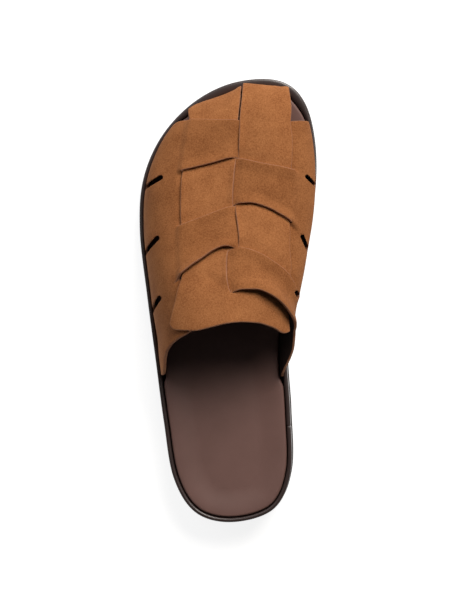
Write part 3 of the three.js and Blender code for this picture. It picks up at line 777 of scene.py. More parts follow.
# The wrap of the footbed: dark brown polished calf, pulled tight, so its highlights are soft
WRAP_LEATHER = Finish(
    "dark_polished_wrap", "#2c201e", "#3d2e2b", patch=22.0, grain=0.6, patches=0.5, grains=0.15,
    relief=0.012, roughness=0.40, specular=0.6, coat=0.3,
)
# Moulded rubber: matt and nearly black, with the fine grain of the mould
OUTSOLE_RUBBER = Finish(
    "moulded_brown_rubber", "#1d1614", "#29201d", patch=18.0, grain=0.5, patches=0.4, grains=0.2,
    relief=0.02, roughness=0.72, specular=0.4,
)


# ---- sub-assemblies


def shares(count: int, extra: Sequence[float] = ()) -> Array:
    """Divides the length of the shoe, closer together towards the two tips.

    Args:
        count: Number of steps.
        extra: Further shares of the length that get a row.

    Returns:
        Rising shares between 0 and 1, without the two ends.
    """
    even = (1.0 - np.cos(np.pi * np.arange(1, count) / count)) / 2.0
    return np.unique(np.concatenate([even, extra]))


def quarter(steps: int) -> Array:
    """Gives the angles of a quarter turn, from 0 to a right angle."""
    return np.linspace(0.0, math.pi / 2.0, steps + 1)


@dataclass
class Outsole:
    """The rubber outsole: heel and forefoot flat on the ground, with tread grooves."""

    rows: int = 150
    rungs: int = 24
    edge: float = 1.0
    upper_edge: float = 0.3
    groove_floor: float = -3.0
    groove_depth: float = 1.8
    groove_width: float = 3.0
    margin: float = 7.0
    grooves: tuple[tuple[float, float, int], ...] = ((40.0, 112.0, 7), (-126.0, -70.0, 6))

    def build(self) -> bpy.types.Object:
        """Makes the slab and cuts its grooves."""
        sole = Outline.of_sole()
        stations = shares(self.rows)

        def under(y: Array) -> Array:
            """Gives the height of the underside."""
            return SOLE.at("under", y)

        def top(y: Array) -> Array:
            """Gives the height where the wrap starts."""
            return SOLE.at("join", y)

        loops = [
            sole.moved(self.edge * (1.0 - math.sin(a))).loop(
                stations, lambda y, a=a: under(y) + self.edge * (1.0 - math.cos(a))
            )
            for a in quarter(4)
        ]
        loops += [
            sole.moved(self.upper_edge * (1.0 - math.cos(a))).loop(
                stations, lambda y, a=a: top(y) - self.upper_edge * (1.0 - math.sin(a))
            )
            for a in quarter(2)
        ]
        plan = loft(loops, self.rungs, lambda x, y: under(y), lambda x, y: top(y))
        rubber = OUTSOLE_RUBBER.material()
        piece = plan.object("outsole_rubber", [rubber])
        self._cut(piece, rubber)
        return piece

    def _cut(self, piece: bpy.types.Object, rubber: bpy.types.Material) -> None:
        """Cuts the tread grooves into the underside.

        Args:
            piece: The slab.
            rubber: Material of the cut faces.
        """
        margin = Outline.of_sole().moved(self.margin)
        blocks = []
        for first, last, count in self.grooves:
            for y in np.linspace(first, last, count):
                left, right = (side[0] for side in margin.span(np.array([y])))
                near, far = y - self.groove_width / 2, y + self.groove_width / 2
                corners = np.array([(left, near), (right, near), (right, far), (left, far)])
                high = float(SOLE.at("under", y)) + self.groove_depth
                blocks.append((corners, self.groove_floor, high))
        cut_away(piece, prisms(blocks, 0).object("cutter", [rubber]))


def cut_away(piece: bpy.types.Object, cutter: bpy.types.Object) -> None:
    """Cuts one object out of another and removes the cutter.

    A thin sheet may touch itself beside its slits, so the cut also looks for that.

    Args:
        piece: What is cut; its mesh is replaced by the result.
        cutter: What is cut out of it.
    """
    modifier = piece.modifiers.new("cut", "BOOLEAN")
    modifier.operation = "DIFFERENCE"
    modifier.solver = "EXACT"
    modifier.use_self = True
    modifier.object = cutter
    graph = bpy.context.evaluated_depsgraph_get()
    mesh = bpy.data.meshes.new_from_object(piece.evaluated_get(graph))
    piece.modifiers.clear()
    old = piece.data
    piece.data = mesh
    mesh.name = piece.name
    bpy.data.meshes.remove(old)
    bpy.data.objects.remove(cutter)


@dataclass
class Midsole:
    """The footbed wrapped in leather: a raised rim, and a ledge inside for insole and upper."""

    rows: int = 170
    rungs: int = 10
    rim_round: float = 1.2
    wrap_round: float = 1.2
    seam_at: float = -80.7
    seam_width: float = 0.45
    seam_depth: float = 0.35
    seam_core: float = 1.6
    seam_press: float = 0.8
    seam_rows: tuple[float, float, float] = (4.0, 3.0, 0.2)
    heel_tip: float = -143.0
    rim_steps: int = 13
    rim_shape: float = 0.8
    wall_row: float = 3.0

    def build(self) -> bpy.types.Object:
        """Makes the wrapped footbed with its butt seam at the inner side of the heel."""
        sole = Outline.of_sole()
        length = -2.0 * self.heel_tip
        before, after, step = self.seam_rows
        near_seam = np.arange(self.seam_at - before, self.seam_at + after, step)
        stations = shares(self.rows, (near_seam - self.heel_tip) / length)

        def under(y: Array) -> Array:
            """Gives the height of the underside, just clear of the outsole."""
            return SOLE.at("join", y) + CLEARANCE

        def rim(y: Array) -> Array:
            """Gives the height of the rim."""
            return SOLE.at("rim", y)

        loops = []
        for a in quarter(4):
            inset = WRAP_INSET + self.wrap_round * (1.0 - math.sin(a))
            lift = self.wrap_round * (1.0 - math.cos(a))
            loops.append(sole.moved(inset).loop(stations, lambda y, h=lift: under(y) + h))
        for a in np.linspace(0.0, math.pi, self.rim_steps):
            share = (1.0 - math.cos(a)) / 2.0
            edge = sole.moved(lambda x, y, s=share: lerp(WRAP_INSET, rim_width(y), s))
            drop = self.rim_round * (1.0 - math.sin(a) ** self.rim_shape)
            loops.append(edge.loop(stations, lambda y, h=drop: rim(y) - h))
        wall = sole.moved(lambda x, y: rim_width(y))
        for drop in (self.wall_row, LEDGE_DEPTH):
            loops.append(wall.loop(stations, lambda y, h=drop: rim(y) - h))
        plan = loft(
            loops, self.rungs, lambda x, y: under(y), lambda x, y: rim(y) - LEDGE_DEPTH
        )
        self._press_seam(plan, len(loops) * len(loops[0]))
        return plan.object("footbed_wrap", [WRAP_LEATHER.material()])

    def _press_seam(self, plan: MeshPlan, count: int) -> None:
        """Presses the butt seam of the wrap into the inner side.

        Args:
            plan: The footbed, changed in place.
            count: How many of its first points lie on the loops round it.
        """
        points = plan.points[:count]
        away = (points[:, 1] - self.seam_at) / self.seam_width
        depth = self.seam_depth * np.exp(-(away**2)) * (points[:, 0] > 0)
        sole = Outline.of_sole()
        rim_middle = sole.moved((RIM_WIDTH + WRAP_INSET) / 2.0)
        right = rim_middle.span(points[:, 1])[1]
        core = np.column_stack([right, points[:, 1], SOLE.at("rim", points[:, 1]) - self.seam_core])
        points[:, 2] = np.where(
            points[:, 2] > core[:, 2], points[:, 2] - depth * self.seam_press, points[:, 2]
        )
        points[:, 0] -= depth * np.sign(points[:, 0] - core[:, 0]) * self.seam_press


@dataclass
class Insole:
    """The padded insole: leather over foam, with a rolled edge and a dish."""

    rows: int = 150
    rungs: int = 56
    sunk: float = 0.6
    roll: float = 1.3
    dish: float = 1.7
    reach: float = 18.0
    upper_from: float = -50.0
    ramp: float = 5.0
    behind_upper: float = 0.4
    outer_corner: tuple[float, float] = (-23.5, 110.0)
    inner_corner: tuple[float, float] = (41.0, 111.0)
    corner_ease: float = 2.0
    dish_from: float = 0.1

    def _inset(self, x: Array, y: Array) -> Array:
        """Gives how far the insole's edge lies in from the sole's.

        It is less where no wall stands in the groove: at the heel and in the two toe corners.
        """
        foot = CLEARANCE + WALL - self.behind_upper
        covered = smoothstep(self.upper_from - self.ramp, self.upper_from, y)
        outer = smoothstep(0.0, self.corner_ease, self.outer_corner[0] - x)
        outer = outer * smoothstep(0.0, self.corner_ease, y - self.outer_corner[1])
        inner = smoothstep(0.0, self.corner_ease, x - self.inner_corner[0])
        inner = inner * smoothstep(0.0, self.corner_ease, y - self.inner_corner[1])
        covered = covered * (1.0 - outer - inner)
        return rim_width(y) + CLEARANCE + self.behind_upper + foot * covered

    def build(self) -> bpy.types.Object:
        """Makes the insole."""
        sole = Outline.of_sole()
        edge = sole.moved(self._inset)
        stations = shares(self.rows)

        def base(y: Array) -> Array:
            """Gives the height of the underside, just clear of the ledge."""
            return SOLE.at("rim", y) - LEDGE_DEPTH + CLEARANCE

        def lip(y: Array) -> Array:
            """Gives the height of the rolled edge."""
            return SOLE.at("rim", y) - self.sunk

        def footbed(x: Array, y: Array) -> Array:
            """Gives the height of the dished top."""
            depth = np.minimum(edge.inwards(x, y)[0] / self.reach, 1.0)
            return lip(y) - self.dish * smoothstep(self.dish_from, 1.0, depth)

        def ring(inset: float, height: Callable[[Array], Array]) -> Array:
            """Makes a loop that far in from the insole's edge."""
            return sole.moved(lambda x, y: self._inset(x, y) + inset).loop(stations, height)

        loops = [ring(self.roll / 2, base), ring(0.0, lambda y: base(y) + self.roll)]
        for a in quarter(5):
            drop = self.roll * (1.0 - math.sin(a))
            inset = self.roll * (1.0 - math.cos(a))
            loops.append(ring(inset, lambda y, h=drop: lip(y) - h))
        plan = loft(loops, self.rungs, lambda x, y: base(y), footbed)
        return plan.object("insole_pad", [INSOLE_LEATHER.material()])


@dataclass(frozen=True)
class Crease:
    """A soft crease worn into the suede.

    Attributes:
        start: Where it starts, x and y.
        end: Where it ends.
        depth: How deep it is, below 0 for a ridge.
        width: How far it takes to rise again.
    """

    start: tuple[float, float]
    end: tuple[float, float]
    depth: float
    width: float

    def press(self, x: Array, y: Array) -> Array:
        """Gives how far the crease lowers the surface at places in plan."""
        a, b = np.array(self.start), np.array(self.end)
        run = b - a
        rel = np.stack([x - a[0], y - a[1]], -1)
        t = np.clip((rel @ run) / float(run @ run), 0.0, 1.0)
        away = np.linalg.norm(rel - t[..., None] * run, axis=-1)
        return self.depth * np.exp(-((away / self.width) ** 2))


# The main creases and soft ridges that show from above
CREASES = (
    # the inner strap's edge presses up through the second and the last band
    Crease((42.6, 84.0), (43.4, 70.0), -0.45, 3.0),
    Crease((43.4, 22.0), (44.6, 5.0), -0.6, 3.2),
    # flex lines between the little toe and the first slot, and ahead of the second one
    Crease((-27.0, 101.0), (-40.0, 88.0), 0.5, 5.0),
    Crease((-30.0, 62.0), (-43.0, 50.0), 0.45, 5.5),
    # the instep flank sinks a little between the last slot and the collar
    Crease((-33.0, -2.0), (-41.0, -24.0), 0.7, 7.0),
    # a dent beside the middle where the tongue comes out from under the third band
    Crease((-7.0, 12.5), (-2.5, 9.5), 0.6, 3.0),
    # the ball of the foot bulges the middle of the third band
    Crease((-14.0, 40.0), (2.0, 46.0), -0.5, 8.0),
    # and the big toe joint the inner side of the second
    Crease((30.0, 60.0), (40.0, 52.0), 0.5, 5.0),
)


@dataclass
class Weave:
    """How far each layer stands off the last where bands and straps cross.

    At a slit the upper band, the strap and the lower band lie on each other; between the slits
    the two layers share the last evenly.
    """

    last: Last
    thickness: float = 1.8
    raised: float = 0.4
    slit_reach: float = 8.0
    middle_reach: float = 4.5
    prop_outside: float = 4.5
    prop_inside: float = 0.5
    edge_curl: float = 0.4
    tongue_rise: float = 1.5
    tongue_width: float = 20.0
    flap_from: float = 0.56
    flap_to: float = 0.87
    flap_lift: float = 5.4
    flap_skew: float = 1.4
    flap_reach: float = 14.0
    lips: tuple[tuple[int, Side, float], ...] = (
        (0, Side.OUTER, 0.7), (1, Side.INNER, 0.7), (2, Side.OUTER, 1.8),
    )
    lip_reach: float = 7.0
    tongue_turn: float = 0.57
    tongue_over: tuple[float, float] = (-2.0, 4.0)
    tongue_under: tuple[float, float] = (-3.0, 4.0)
    toe_cover: tuple[float, float] = (0.5, 0.6)
    creases: tuple[Crease, ...] = CREASES

    def lines(self, turn: Array) -> list[Array]:
        """Gives the five lines across the foot that bound the bands, from the toe back."""
        slits = [SLITS.at(name, turn) for name in ("first", "second", "third")]
        return [BAND_ENDS.at("front", turn), *slits, BAND_ENDS.at("rear", turn)]

    def _ends(self, turn: Array, band: Array) -> tuple[Array, Array]:
        """Gives the front and the rear line of a band."""
        lines = np.array(self.lines(turn))
        which = np.clip(band, 0, 3)
        return np.choose(which, lines[:4]), np.choose(which, lines[1:])

    def strap_end(self, turn: Array) -> Array:
        """Gives the line where the straps join as the tongue."""
        middle = float(BAND_ENDS.at("rear", self.tongue_turn))
        return np.where(turn < self.tongue_turn, middle, BAND_ENDS.at("rear", turn))

    def _settling(self, turn: Array, y: Array, band: Array, strap: Array) -> tuple[Array, Array]:
        """Finds how near places are to a slit and to the line between the straps."""
        front, rear = self._ends(turn, band)
        front_share = np.where(band == 0, 0.5, 1.0)
        rear_share = np.where((band == 3) & (strap == Side.OUTER), 0.0, 1.0)
        near_slit = np.maximum(
            fade((y - front) / self.slit_reach) * front_share,
            fade((y - rear) / self.slit_reach) * rear_share,
        )
        away = (turn - STRAPS.at("middle", y)) * self.last.per_turn(turn, y)
        return near_slit, fade(away / self.middle_reach)

    def band_lift(self, turn: Array, y: Array, band: Array) -> Array:
        """Gives the lift of the cross bands.

        Args:
            turn: Places round the foot.
            y: Stations along it.
            band: Number of the band from the toe back, 0 to 3.

        Returns:
            Distances out of the last.
        """
        middle = STRAPS.at("middle", y)
        strap = np.where(turn < middle, Side.OUTER, Side.INNER)
        near_slit, near_middle = self._settling(turn, y, band, strap)
        cover = np.where((band + strap) % 2 == 0, 1.0, -1.0)
        lift = cover * self.thickness / 2 * (1.0 - near_middle) * (1.0 + near_slit)
        scale = self.last.per_turn(turn, y)
        from_outer = (turn - STRAPS.at("outer", y)) * scale
        from_inner = (STRAPS.at("inner", y) - turn) * scale
        side = smoothstep(-self.prop_outside, self.prop_inside, from_outer)
        side = side * smoothstep(-self.prop_outside, self.prop_inside, from_inner)
        under_tongue = smoothstep(*self.tongue_under, y - TONGUE.at("rear", turn))
        side = side * np.where(strap == Side.OUTER, under_tongue, 1.0)
        lip = self._lip(turn, y, band, strap, near_middle)
        return (lift + self.raised + lip) * side + self._flap(turn, y)

    def _lip(self, turn: Array, y: Array, band: Array, strap: Array, middle: Array) -> Array:
        """Gives how far a band's rear edge stands up where a strap comes out from under it."""
        near = fade((y - self._ends(turn, band)[1]) / self.lip_reach) * (1.0 - middle)
        return sum(
            lift * near * ((band == which) & (strap == side)) for which, side, lift in self.lips
        )

    def _flap(self, turn: Array, y: Array) -> Array:
        """Gives how far the rear edge of the last band stands up off the tongue."""
        part = np.clip((turn - self.flap_from) / (self.flap_to - self.flap_from), 0.0, 1.0)
        rear = BAND_ENDS.at("rear", turn)
        near = fade((y - rear) / self.flap_reach)
        return self.flap_lift * np.sin(np.pi * part**self.flap_skew) * near

    def strap_lift(self, turn: Array, y: Array, band: Array, strap: Array) -> Array:
        """Gives the lift of the straps and the tongue.

        Args:
            turn: Places round the foot.
            y: Stations along it.
            band: Number of the band that the place is in, -1 ahead of them and 4 behind.
            strap: Which strap it is.

        Returns:
            Distances out of the last.
        """
        half = self.thickness / 2
        near_slit, near_middle = self._settling(turn, y, band, strap)
        cover = np.where((np.clip(band, 0, 3) + strap) % 2 == 0, 1.0, -1.0)
        over = -cover * half * (1.0 - near_slit) * (1.0 + near_middle)
        alone, beside = self.toe_cover
        toe = -cover * half * (alone + beside * near_middle)
        away = (turn - STRAPS.at("middle", y)) * self.last.per_turn(turn, y)
        tongue = half * (1.0 - smoothstep(*self.tongue_over, away))
        from_edge = (turn - STRAPS.at("outer", y)) * self.last.per_turn(turn, y)
        curl = self.edge_curl * fade(from_edge / self.middle_reach)
        end = fade((y - self.strap_end(turn)) / self.slit_reach)
        over = np.where(band == 3, lerp(over, tongue, end), over)
        lift = np.where(band < 0, toe, np.where(band > 3, tongue, over))
        behind = 1.0 - smoothstep(0.0, self.flap_reach, y - self.strap_end(turn))
        rise = self.tongue_rise * fade(from_edge / self.tongue_width) * behind
        return lift + self.raised + curl + rise

    def crease(self, x: Array, y: Array) -> Array:
        """Gives how far the creases lower the suede at places in plan."""
        return sum((crease.press(x, y) for crease in self.creases), np.zeros_like(x))


@dataclass
class UpperSheet:
    """Rows and columns of places on the last, from which a sheet is cut.

    Attributes:
        points: Places on the last, rows by columns by three.
        turn: Turn of each place.
        y: Station of each place.
    """

    points: Array
    turn: Array
    y: Array

    def normals(self) -> Array:
        """Gives the directions out of the last at the places."""
        down = np.gradient(self.points, axis=0)
        across = np.gradient(self.points, axis=1)
        return unit(np.cross(down, across))

    def downwards(self) -> Array:
        """Gives the directions along the rows' lines towards the heel."""
        return unit(np.gradient(self.points, axis=0))

    def sideways(self) -> Array:
        """Gives the directions towards the inner side."""
        return unit(np.gradient(self.points, axis=1))

    def padded(self, points: Array, pad: tuple[tuple[int, int], ...]) -> "UpperSheet":
        """Gives the sheet more rows or columns that keep the turn and station of its edge.

        Args:
            points: All places, the new ones included.
            pad: How many rows and how many columns are new, before and after.

        Returns:
            The larger sheet.
        """
        return UpperSheet(points, np.pad(self.turn, pad, "edge"), np.pad(self.y, pad, "edge"))


# Shares of a gap by which the first rows or columns beside it draw back from it
DRAW_BACK = (1.0, 0.6, 0.25)


@dataclass
class Upper:
    """The woven upper: one sheet slit into four cross bands, and one slit into two straps."""

    weave: Weave
    rounding: float = 0.42
    slit_gap: float = 0.45
    strap_gap: float = 1.05
    hole: float = 0.8
    band_columns: tuple[int, ...] = (40, 3, 22, 24, 3, 40)
    strap_columns: tuple[int, int] = (24, 28)
    band_rows: int = 30
    toe_rows: int = 30
    tongue_rows: int = 20
    drops: tuple[float, ...] = (4.4, 2.8, 1.3)
    slot_widths: tuple[float, float] = (3.3, 2.6)
    slot_reach: float = 1.9
    slot_mouths: tuple[float, float] = (3.0, 1.8)
    slot_floors: tuple[float, float] = (0.0, 0.45)
    slot_steps: int = 17
    slot_base: float = 1.2
    slot_top: float = 95.0
    settle: float = 2.0
    toe_blend: tuple[float, float] = (100.0, 113.0)
    toe_crowding: float = 1.7
    first_guess: float = 40.0
    guess_step: float = 25.0
    rounds: int = 8
    materials: list[bpy.types.Material] = field(default_factory=list)

    def build(self) -> tuple[bpy.types.Object, bpy.types.Object]:
        """Makes both sheets.

        Returns:
            The bands and the straps.
        """
        edge, lining = CUT_EDGE.material(), LINING_AND_SHADE.material()
        # the bands get the darkened suede, painted shade
        self.materials = [SHADED_BAND_SUEDE.material(), edge, lining]
        bands = self._bands()
        cut_away(bands, self._slot_cutter())
        self.materials = [STRAP_SUEDE.material(), edge, lining]
        return bands, self._straps()

    # -- cross bands

    def _band_grid(self) -> tuple[UpperSheet, list[int]]:
        """Lays the bands' rows and columns on the last.

        Returns:
            The grid, and the columns where the slits end.
        """
        counts = self.band_columns
        column = np.concatenate(
            [i + np.arange(n) / n for i, n in enumerate(counts)] + [[float(len(counts))]]
        )
        row = np.linspace(0.0, 4.0, 4 * self.band_rows + 1)
        band = np.minimum(row.astype(int), 3)
        y = np.full((len(row), len(column)), self.first_guess)
        turn = np.zeros_like(y)
        knot = np.minimum(column.astype(int), len(counts) - 1)
        for _ in range(self.rounds):
            outer, middle, inner = (STRAPS.at(n, y) for n in ("outer", "middle", "inner"))
            knots = np.array([
                np.zeros_like(y), outer - TAILS.at("outer", y), outer, middle, inner,
                inner + TAILS.at("inner", y), np.ones_like(y),
            ])
            whole = np.broadcast_to(knot, y.shape)
            turn = between(knots, whole, column - knot)
            lines = np.array(self.weave.lines(turn))
            which = np.broadcast_to(band[:, None], y.shape)
            y = between(lines, which, (row - band)[:, None])
        last = self.weave.last
        points = last.surface(last.x_of_turn(turn, y), y)
        ends = [sum(counts[:1]), sum(counts[:5])]
        return UpperSheet(points, turn, y), ends

    def _bands(self) -> bpy.types.Object:
        """Makes the sheet that the cross bands are slit from."""
        grid, (first, last_column) = self._band_grid()
        grid = self._with_drops(grid)
        first += len(self.drops)
        last_column += len(self.drops)
        columns = grid.y.shape[1]
        normals, rearwards = grid.normals(), grid.downwards()
        points: list[Array] = []
        index = np.zeros((4, self.band_rows + 1, columns), int)
        count = 0
        for band in range(4):
            start = band * self.band_rows
            part = slice(start, start + self.band_rows + 1)
            turn, y = grid.turn[part], grid.y[part]
            which = np.full(y.shape, band)
            lift = self.weave.band_lift(turn, y, which)
            lift = lift - self.weave.crease(grid.points[part][..., 0], y)
            lift[:, : len(self.drops)] = 0.0
            lift[:, columns - len(self.drops):] = 0.0
            place = grid.points[part] + normals[part] * lift[..., None]
            shift = self._slit_shift(band, first, last_column, y.shape)
            place = place + rearwards[part] * shift[..., None]
            ids = count + np.arange(y.size).reshape(y.shape)
            shared = np.ones(columns, bool)
            shared[first + 1: last_column] = False
            if band:
                ids[0, shared] = index[band - 1, -1, shared]
                meet = np.where(shared)[0]
                before = np.concatenate(points)
                for j in meet:
                    before[ids[0, j]] = (before[ids[0, j]] + place[0, j]) / 2
                points = [before]
            index[band] = ids
            points.append(place.reshape(-1, 3))
            count += y.size
        return self._sheet(np.concatenate(points), grid_quads(index), "upper_bands")

    def _slit_shift(self, band: int, first: int, last: int, shape: tuple[int, ...]) -> Array:
        """Gives how far the rows beside a slit draw back from it.

        Args:
            band: Number of the band.
            first: Column where the slits start.
            last: Column where they end.
            shape: Rows and columns of the band.

        Returns:
            Distances towards the heel, below 0 towards the toe.
        """
        column = np.arange(shape[1])
        open_part = np.clip(np.minimum(column - first, last - column) / 3.0, 0.0, 1.0)
        shift = np.zeros(shape)
        easing = np.array(DRAW_BACK)[:, None]
        near = easing * open_part * self.slit_gap
        hole = easing * fade((column - first - 3) / 3.0) * self.hole
        if band > 0:
            shift[:3] += near + (hole if band == 3 else 0.0)
        if band < 3:
            shift[-3:] -= near[::-1]
        return shift

    def _with_drops(self, grid: UpperSheet) -> UpperSheet:
        """Adds the columns that go down into the groove beside the rim, on both sides."""
        drop = np.zeros((1, len(self.drops), 3))
        drop[..., 2] = self.drops
        outer = grid.points[:, :1] - drop
        inner = (grid.points[:, -1:] - drop)[:, ::-1]
        pad = ((0, 0), (len(self.drops), len(self.drops)))
        return grid.padded(np.concatenate([outer, grid.points, inner], 1), pad)

    def _sheet(self, points: Array, quads: Array, name: str) -> bpy.types.Object:
        """Gives a sheet its thickness, without the points that no face uses."""
        used, inverse = np.unique(quads, return_inverse=True)
        sheet = Sheet(points[used], inverse.reshape(-1, 4))
        plan = sheet.solid(self.weave.thickness, self.rounding)
        return plan.object(name, self.materials)

    def _slot_cutter(self) -> bpy.types.Object:
        """Makes the six prisms that cut the open slots at the sides."""
        bases = []
        for x, y, mouth_x, mouth_y in SLOTS:
            side = Side.OUTER if x < 0 else Side.INNER
            width = self.slot_widths[side]
            closed, mouth = np.array([x, y]), np.array([mouth_x, mouth_y])
            run = mouth - closed
            far = closed + run * self.slot_reach
            wide = np.array([-run[1], run[0]]) / np.linalg.norm(run) * width / 2
            narrow = wide * self.slot_mouths[side] / width
            start = math.atan2(wide[1], wide[0])
            turns = start + np.linspace(0.0, math.pi, self.slot_steps)
            spokes = np.stack([np.cos(turns), np.sin(turns)], 1) * width / 2
            outline = np.vstack([closed + spokes, far - narrow, far + narrow])
            share = self.slot_floors[side]
            floor = float(SOLE.at("rim", y) + self.slot_base + share * UPPER.at("ridge", y))
            bases.append((outline, floor, self.slot_top))
        return prisms(bases, 1).object("slot_cutter", self.materials)

    # -- straps and tongue

    def _strap_grid(self) -> tuple[UpperSheet, Array, int]:
        """Lays the straps' rows and columns on the last, with the tongue behind them.

        Returns:
            The grid, the band's number for each row, and the column between the straps.
        """
        counts = self.strap_columns
        column = np.concatenate([
            np.arange(counts[0]) / counts[0], 1 + np.arange(counts[1] + 1) / counts[1],
        ])
        knot = np.minimum(column.astype(int), 1)
        toe = (np.arange(self.toe_rows) / self.toe_rows) ** self.toe_crowding
        rows = [toe - 1.0]
        rows += [k + np.arange(self.band_rows) / self.band_rows for k in range(4)]
        rows += [4.0 + np.arange(self.tongue_rows + 1) / self.tongue_rows]
        row = np.concatenate(rows)
        band = np.clip(np.floor(row).astype(int), -1, 4)
        shape = (len(row), len(column))
        whole = np.broadcast_to(knot, shape)
        which = np.broadcast_to((band + 1)[:, None], shape)
        last = self.weave.last
        edges = ("outer", "middle", "inner")
        step = self.guess_step
        y = np.full(shape, self.first_guess) - (row[:, None] * step - 2.0 * step)
        turn = np.zeros(shape)
        x = np.zeros(shape)
        for _ in range(self.rounds):
            turn, toe_x = (
                between(np.array([table.at(n, y) for n in edges]), whole, column - knot)
                for table in (STRAPS, STRAP_TOES)
            )
            x = lerp(last.x_of_turn(turn, y), toe_x, smoothstep(*self.toe_blend, y))
            front, first, second, third, _ = self.weave.lines(turn)
            lines = np.array([
                last.seam.front_at(x), front, first, second, third,
                self.weave.strap_end(turn), TONGUE.at("rear", turn),
            ])
            y = between(lines, which, (row - band)[:, None])
        return UpperSheet(last.surface(x, y), turn, y), band, counts[0]

    def _straps(self) -> bpy.types.Object:
        """Makes the sheet of the two straps and the tongue."""
        grid, band, middle = self._strap_grid()
        front = np.repeat(grid.points[:1], len(self.drops), 0)
        front[..., 2] -= np.array(self.drops)[:, None]
        grid = grid.padded(np.concatenate([front, grid.points]), ((len(self.drops), 0), (0, 0)))
        band = np.concatenate([np.full(len(self.drops), -1), band])
        rows, columns = grid.y.shape
        normals, sideways = grid.normals(), grid.sideways()
        which = np.broadcast_to(band[:, None], (rows, columns))
        split = int(np.argmax(band == 4))
        index = []
        points = []
        count = 0
        halves = ((Side.OUTER, slice(0, middle + 1)), (Side.INNER, slice(middle, columns)))
        for strap, part in halves:
            turn, y = grid.turn[:, part], grid.y[:, part]
            lift = self.weave.strap_lift(turn, y, which[:, part], np.full(turn.shape, strap))
            lift = lift - self.weave.crease(grid.points[:, part, 0], y)
            distance = self.weave.last.seam.inwards(grid.points[:, part, 0], y)[0]
            lift *= smoothstep(0.0, self.settle, distance)
            lift[: len(self.drops)] = 0.0
            place = grid.points[:, part] + normals[:, part] * lift[..., None]
            sign = -1.0 if strap == Side.OUTER else 1.0
            taper = np.clip((split - np.arange(rows)) / 3.0, 0.0, 1.0)[:, None]
            column = np.arange(place.shape[1])
            beside = column[::-1] if strap == Side.OUTER else column
            draw = np.interp(beside, range(4), [*DRAW_BACK, 0.0]) * self.strap_gap
            place = place + sideways[:, part] * (sign * draw * taper)[..., None]
            ids = count + np.arange(y.size).reshape(y.shape)
            points.append(place.reshape(-1, 3))
            index.append(ids)
            count += y.size
        both = np.concatenate(points)
        for i in range(split, rows):
            left, right = index[0][i, -1], index[1][i, 0]
            both[left] = (both[left] + both[right]) / 2
            index[1][i, 0] = left
        return self._sheet(both, grid_quads(index), "upper_straps")


@dataclass
class ArchPips:
    """Small moulded pips on the raised waist of the outsole, made with Geometry Nodes."""

    radius: float = 0.9
    height: float = 0.5
    pitch: float = 5.0
    first: float = -44.0
    last: float = 4.0
    margin: float = 9.0
    sunk: float = 0.05
    segments: int = 10
    rings: int = 6

    def _places(self) -> Array:
        """Gives the middle of each pip on the underside of the waist."""
        margin = Outline.of_sole().moved(self.margin)
        places = []
        for k, y in enumerate(np.arange(self.first, self.last, self.pitch * math.sqrt(0.75))):
            left, right = (float(v[0]) for v in margin.span(np.array([y])))
            for x in np.arange(left + (k % 2) * self.pitch / 2, right, self.pitch):
                places.append((x, y, float(SOLE.at("under", y)) + self.sunk))
        return np.array(places)

    def _tree(self, material: bpy.types.Material) -> bpy.types.NodeTree:
        """Builds the tree that sets a pip on each point.

        Args:
            material: Material of the pips.

        Returns:
            The tree, with the inputs Radius and Height.
        """
        tree = bpy.data.node_groups.new("pips_on_points", "GeometryNodeTree")
        face = tree.interface
        face.new_socket("Points", in_out="INPUT", socket_type="NodeSocketGeometry")
        for name, value in (("Radius", self.radius), ("Height", self.height)):
            socket = face.new_socket(name, in_out="INPUT", socket_type="NodeSocketFloat")
            socket.default_value = value * MM
        face.new_socket("Pips", in_out="OUTPUT", socket_type="NodeSocketGeometry")
        given = add_node(tree, "NodeGroupInput")
        ball = add_node(tree, "GeometryNodeMeshUVSphere", {
            "Segments": self.segments, "Rings": self.rings, "Radius": given.outputs["Radius"],
        })
        ratio = add_node(tree, "ShaderNodeMath", {
            0: given.outputs["Height"], 1: given.outputs["Radius"],
        }, operation="DIVIDE")
        scale = add_node(tree, "ShaderNodeCombineXYZ", {0: 1.0, 1: 1.0, 2: ratio.outputs[0]})
        pips = add_node(tree, "GeometryNodeInstanceOnPoints", {
            "Points": given.outputs["Points"], "Instance": ball.outputs["Mesh"],
            "Scale": scale.outputs[0],
        })
        real = add_node(tree, "GeometryNodeRealizeInstances", {0: pips.outputs[0]})
        smooth = add_node(tree, "GeometryNodeSetShadeSmooth", {0: real.outputs[0]})
        painted = add_node(tree, "GeometryNodeSetMaterial", {
            0: smooth.outputs[0], "Material": material,
        })
        add_node(tree, "NodeGroupOutput", {0: painted.outputs[0]})
        return tree

    def build(self) -> bpy.types.Object:
        """Makes the pips as one plain mesh."""
        material = OUTSOLE_RUBBER.material()
        seed = bpy.data.meshes.new("pip_places")
        seed.from_pydata((self._places() * MM).tolist(), [], [])
        source = linked("pip_places", seed)
        modifier = source.modifiers.new("pips", "NODES")
        modifier.node_group = self._tree(material)
        sockets = {
            item.name: item.identifier for item in modifier.node_group.interface.items_tree
        }
        modifier[sockets["Radius"]] = self.radius * MM
        modifier[sockets["Height"]] = self.height * MM
        graph = bpy.context.evaluated_depsgraph_get()
        mesh = bpy.data.meshes.new_from_object(source.evaluated_get(graph))
        source.modifiers.clear()
        bpy.data.objects.remove(source)
        bpy.data.meshes.remove(seed)
        mesh.name = "waist_pips"
        return linked("waist_pips", mesh)


# ---- studio


@dataclass(frozen=True)
class SoftLight:
    """A square soft light that looks at a point."""

    name: str
    place: tuple[float, float, float]
    size: float
    watts: float
    colour: str = "#ffffff"

    def build(self, target: Vector) -> None:
        """Makes the light.

        Args:
            target: Where it looks.
        """
        data = bpy.data.lights.new(self.name, "AREA")
        data.size = self.size
        data.energy = self.watts
        data.color = linear(self.colour)[:3]
        lamp = linked(self.name, data)
        lamp.location = self.place
        lamp.rotation_euler = (target - Vector(self.place)).to_track_quat("-Z", "Y").to_euler()


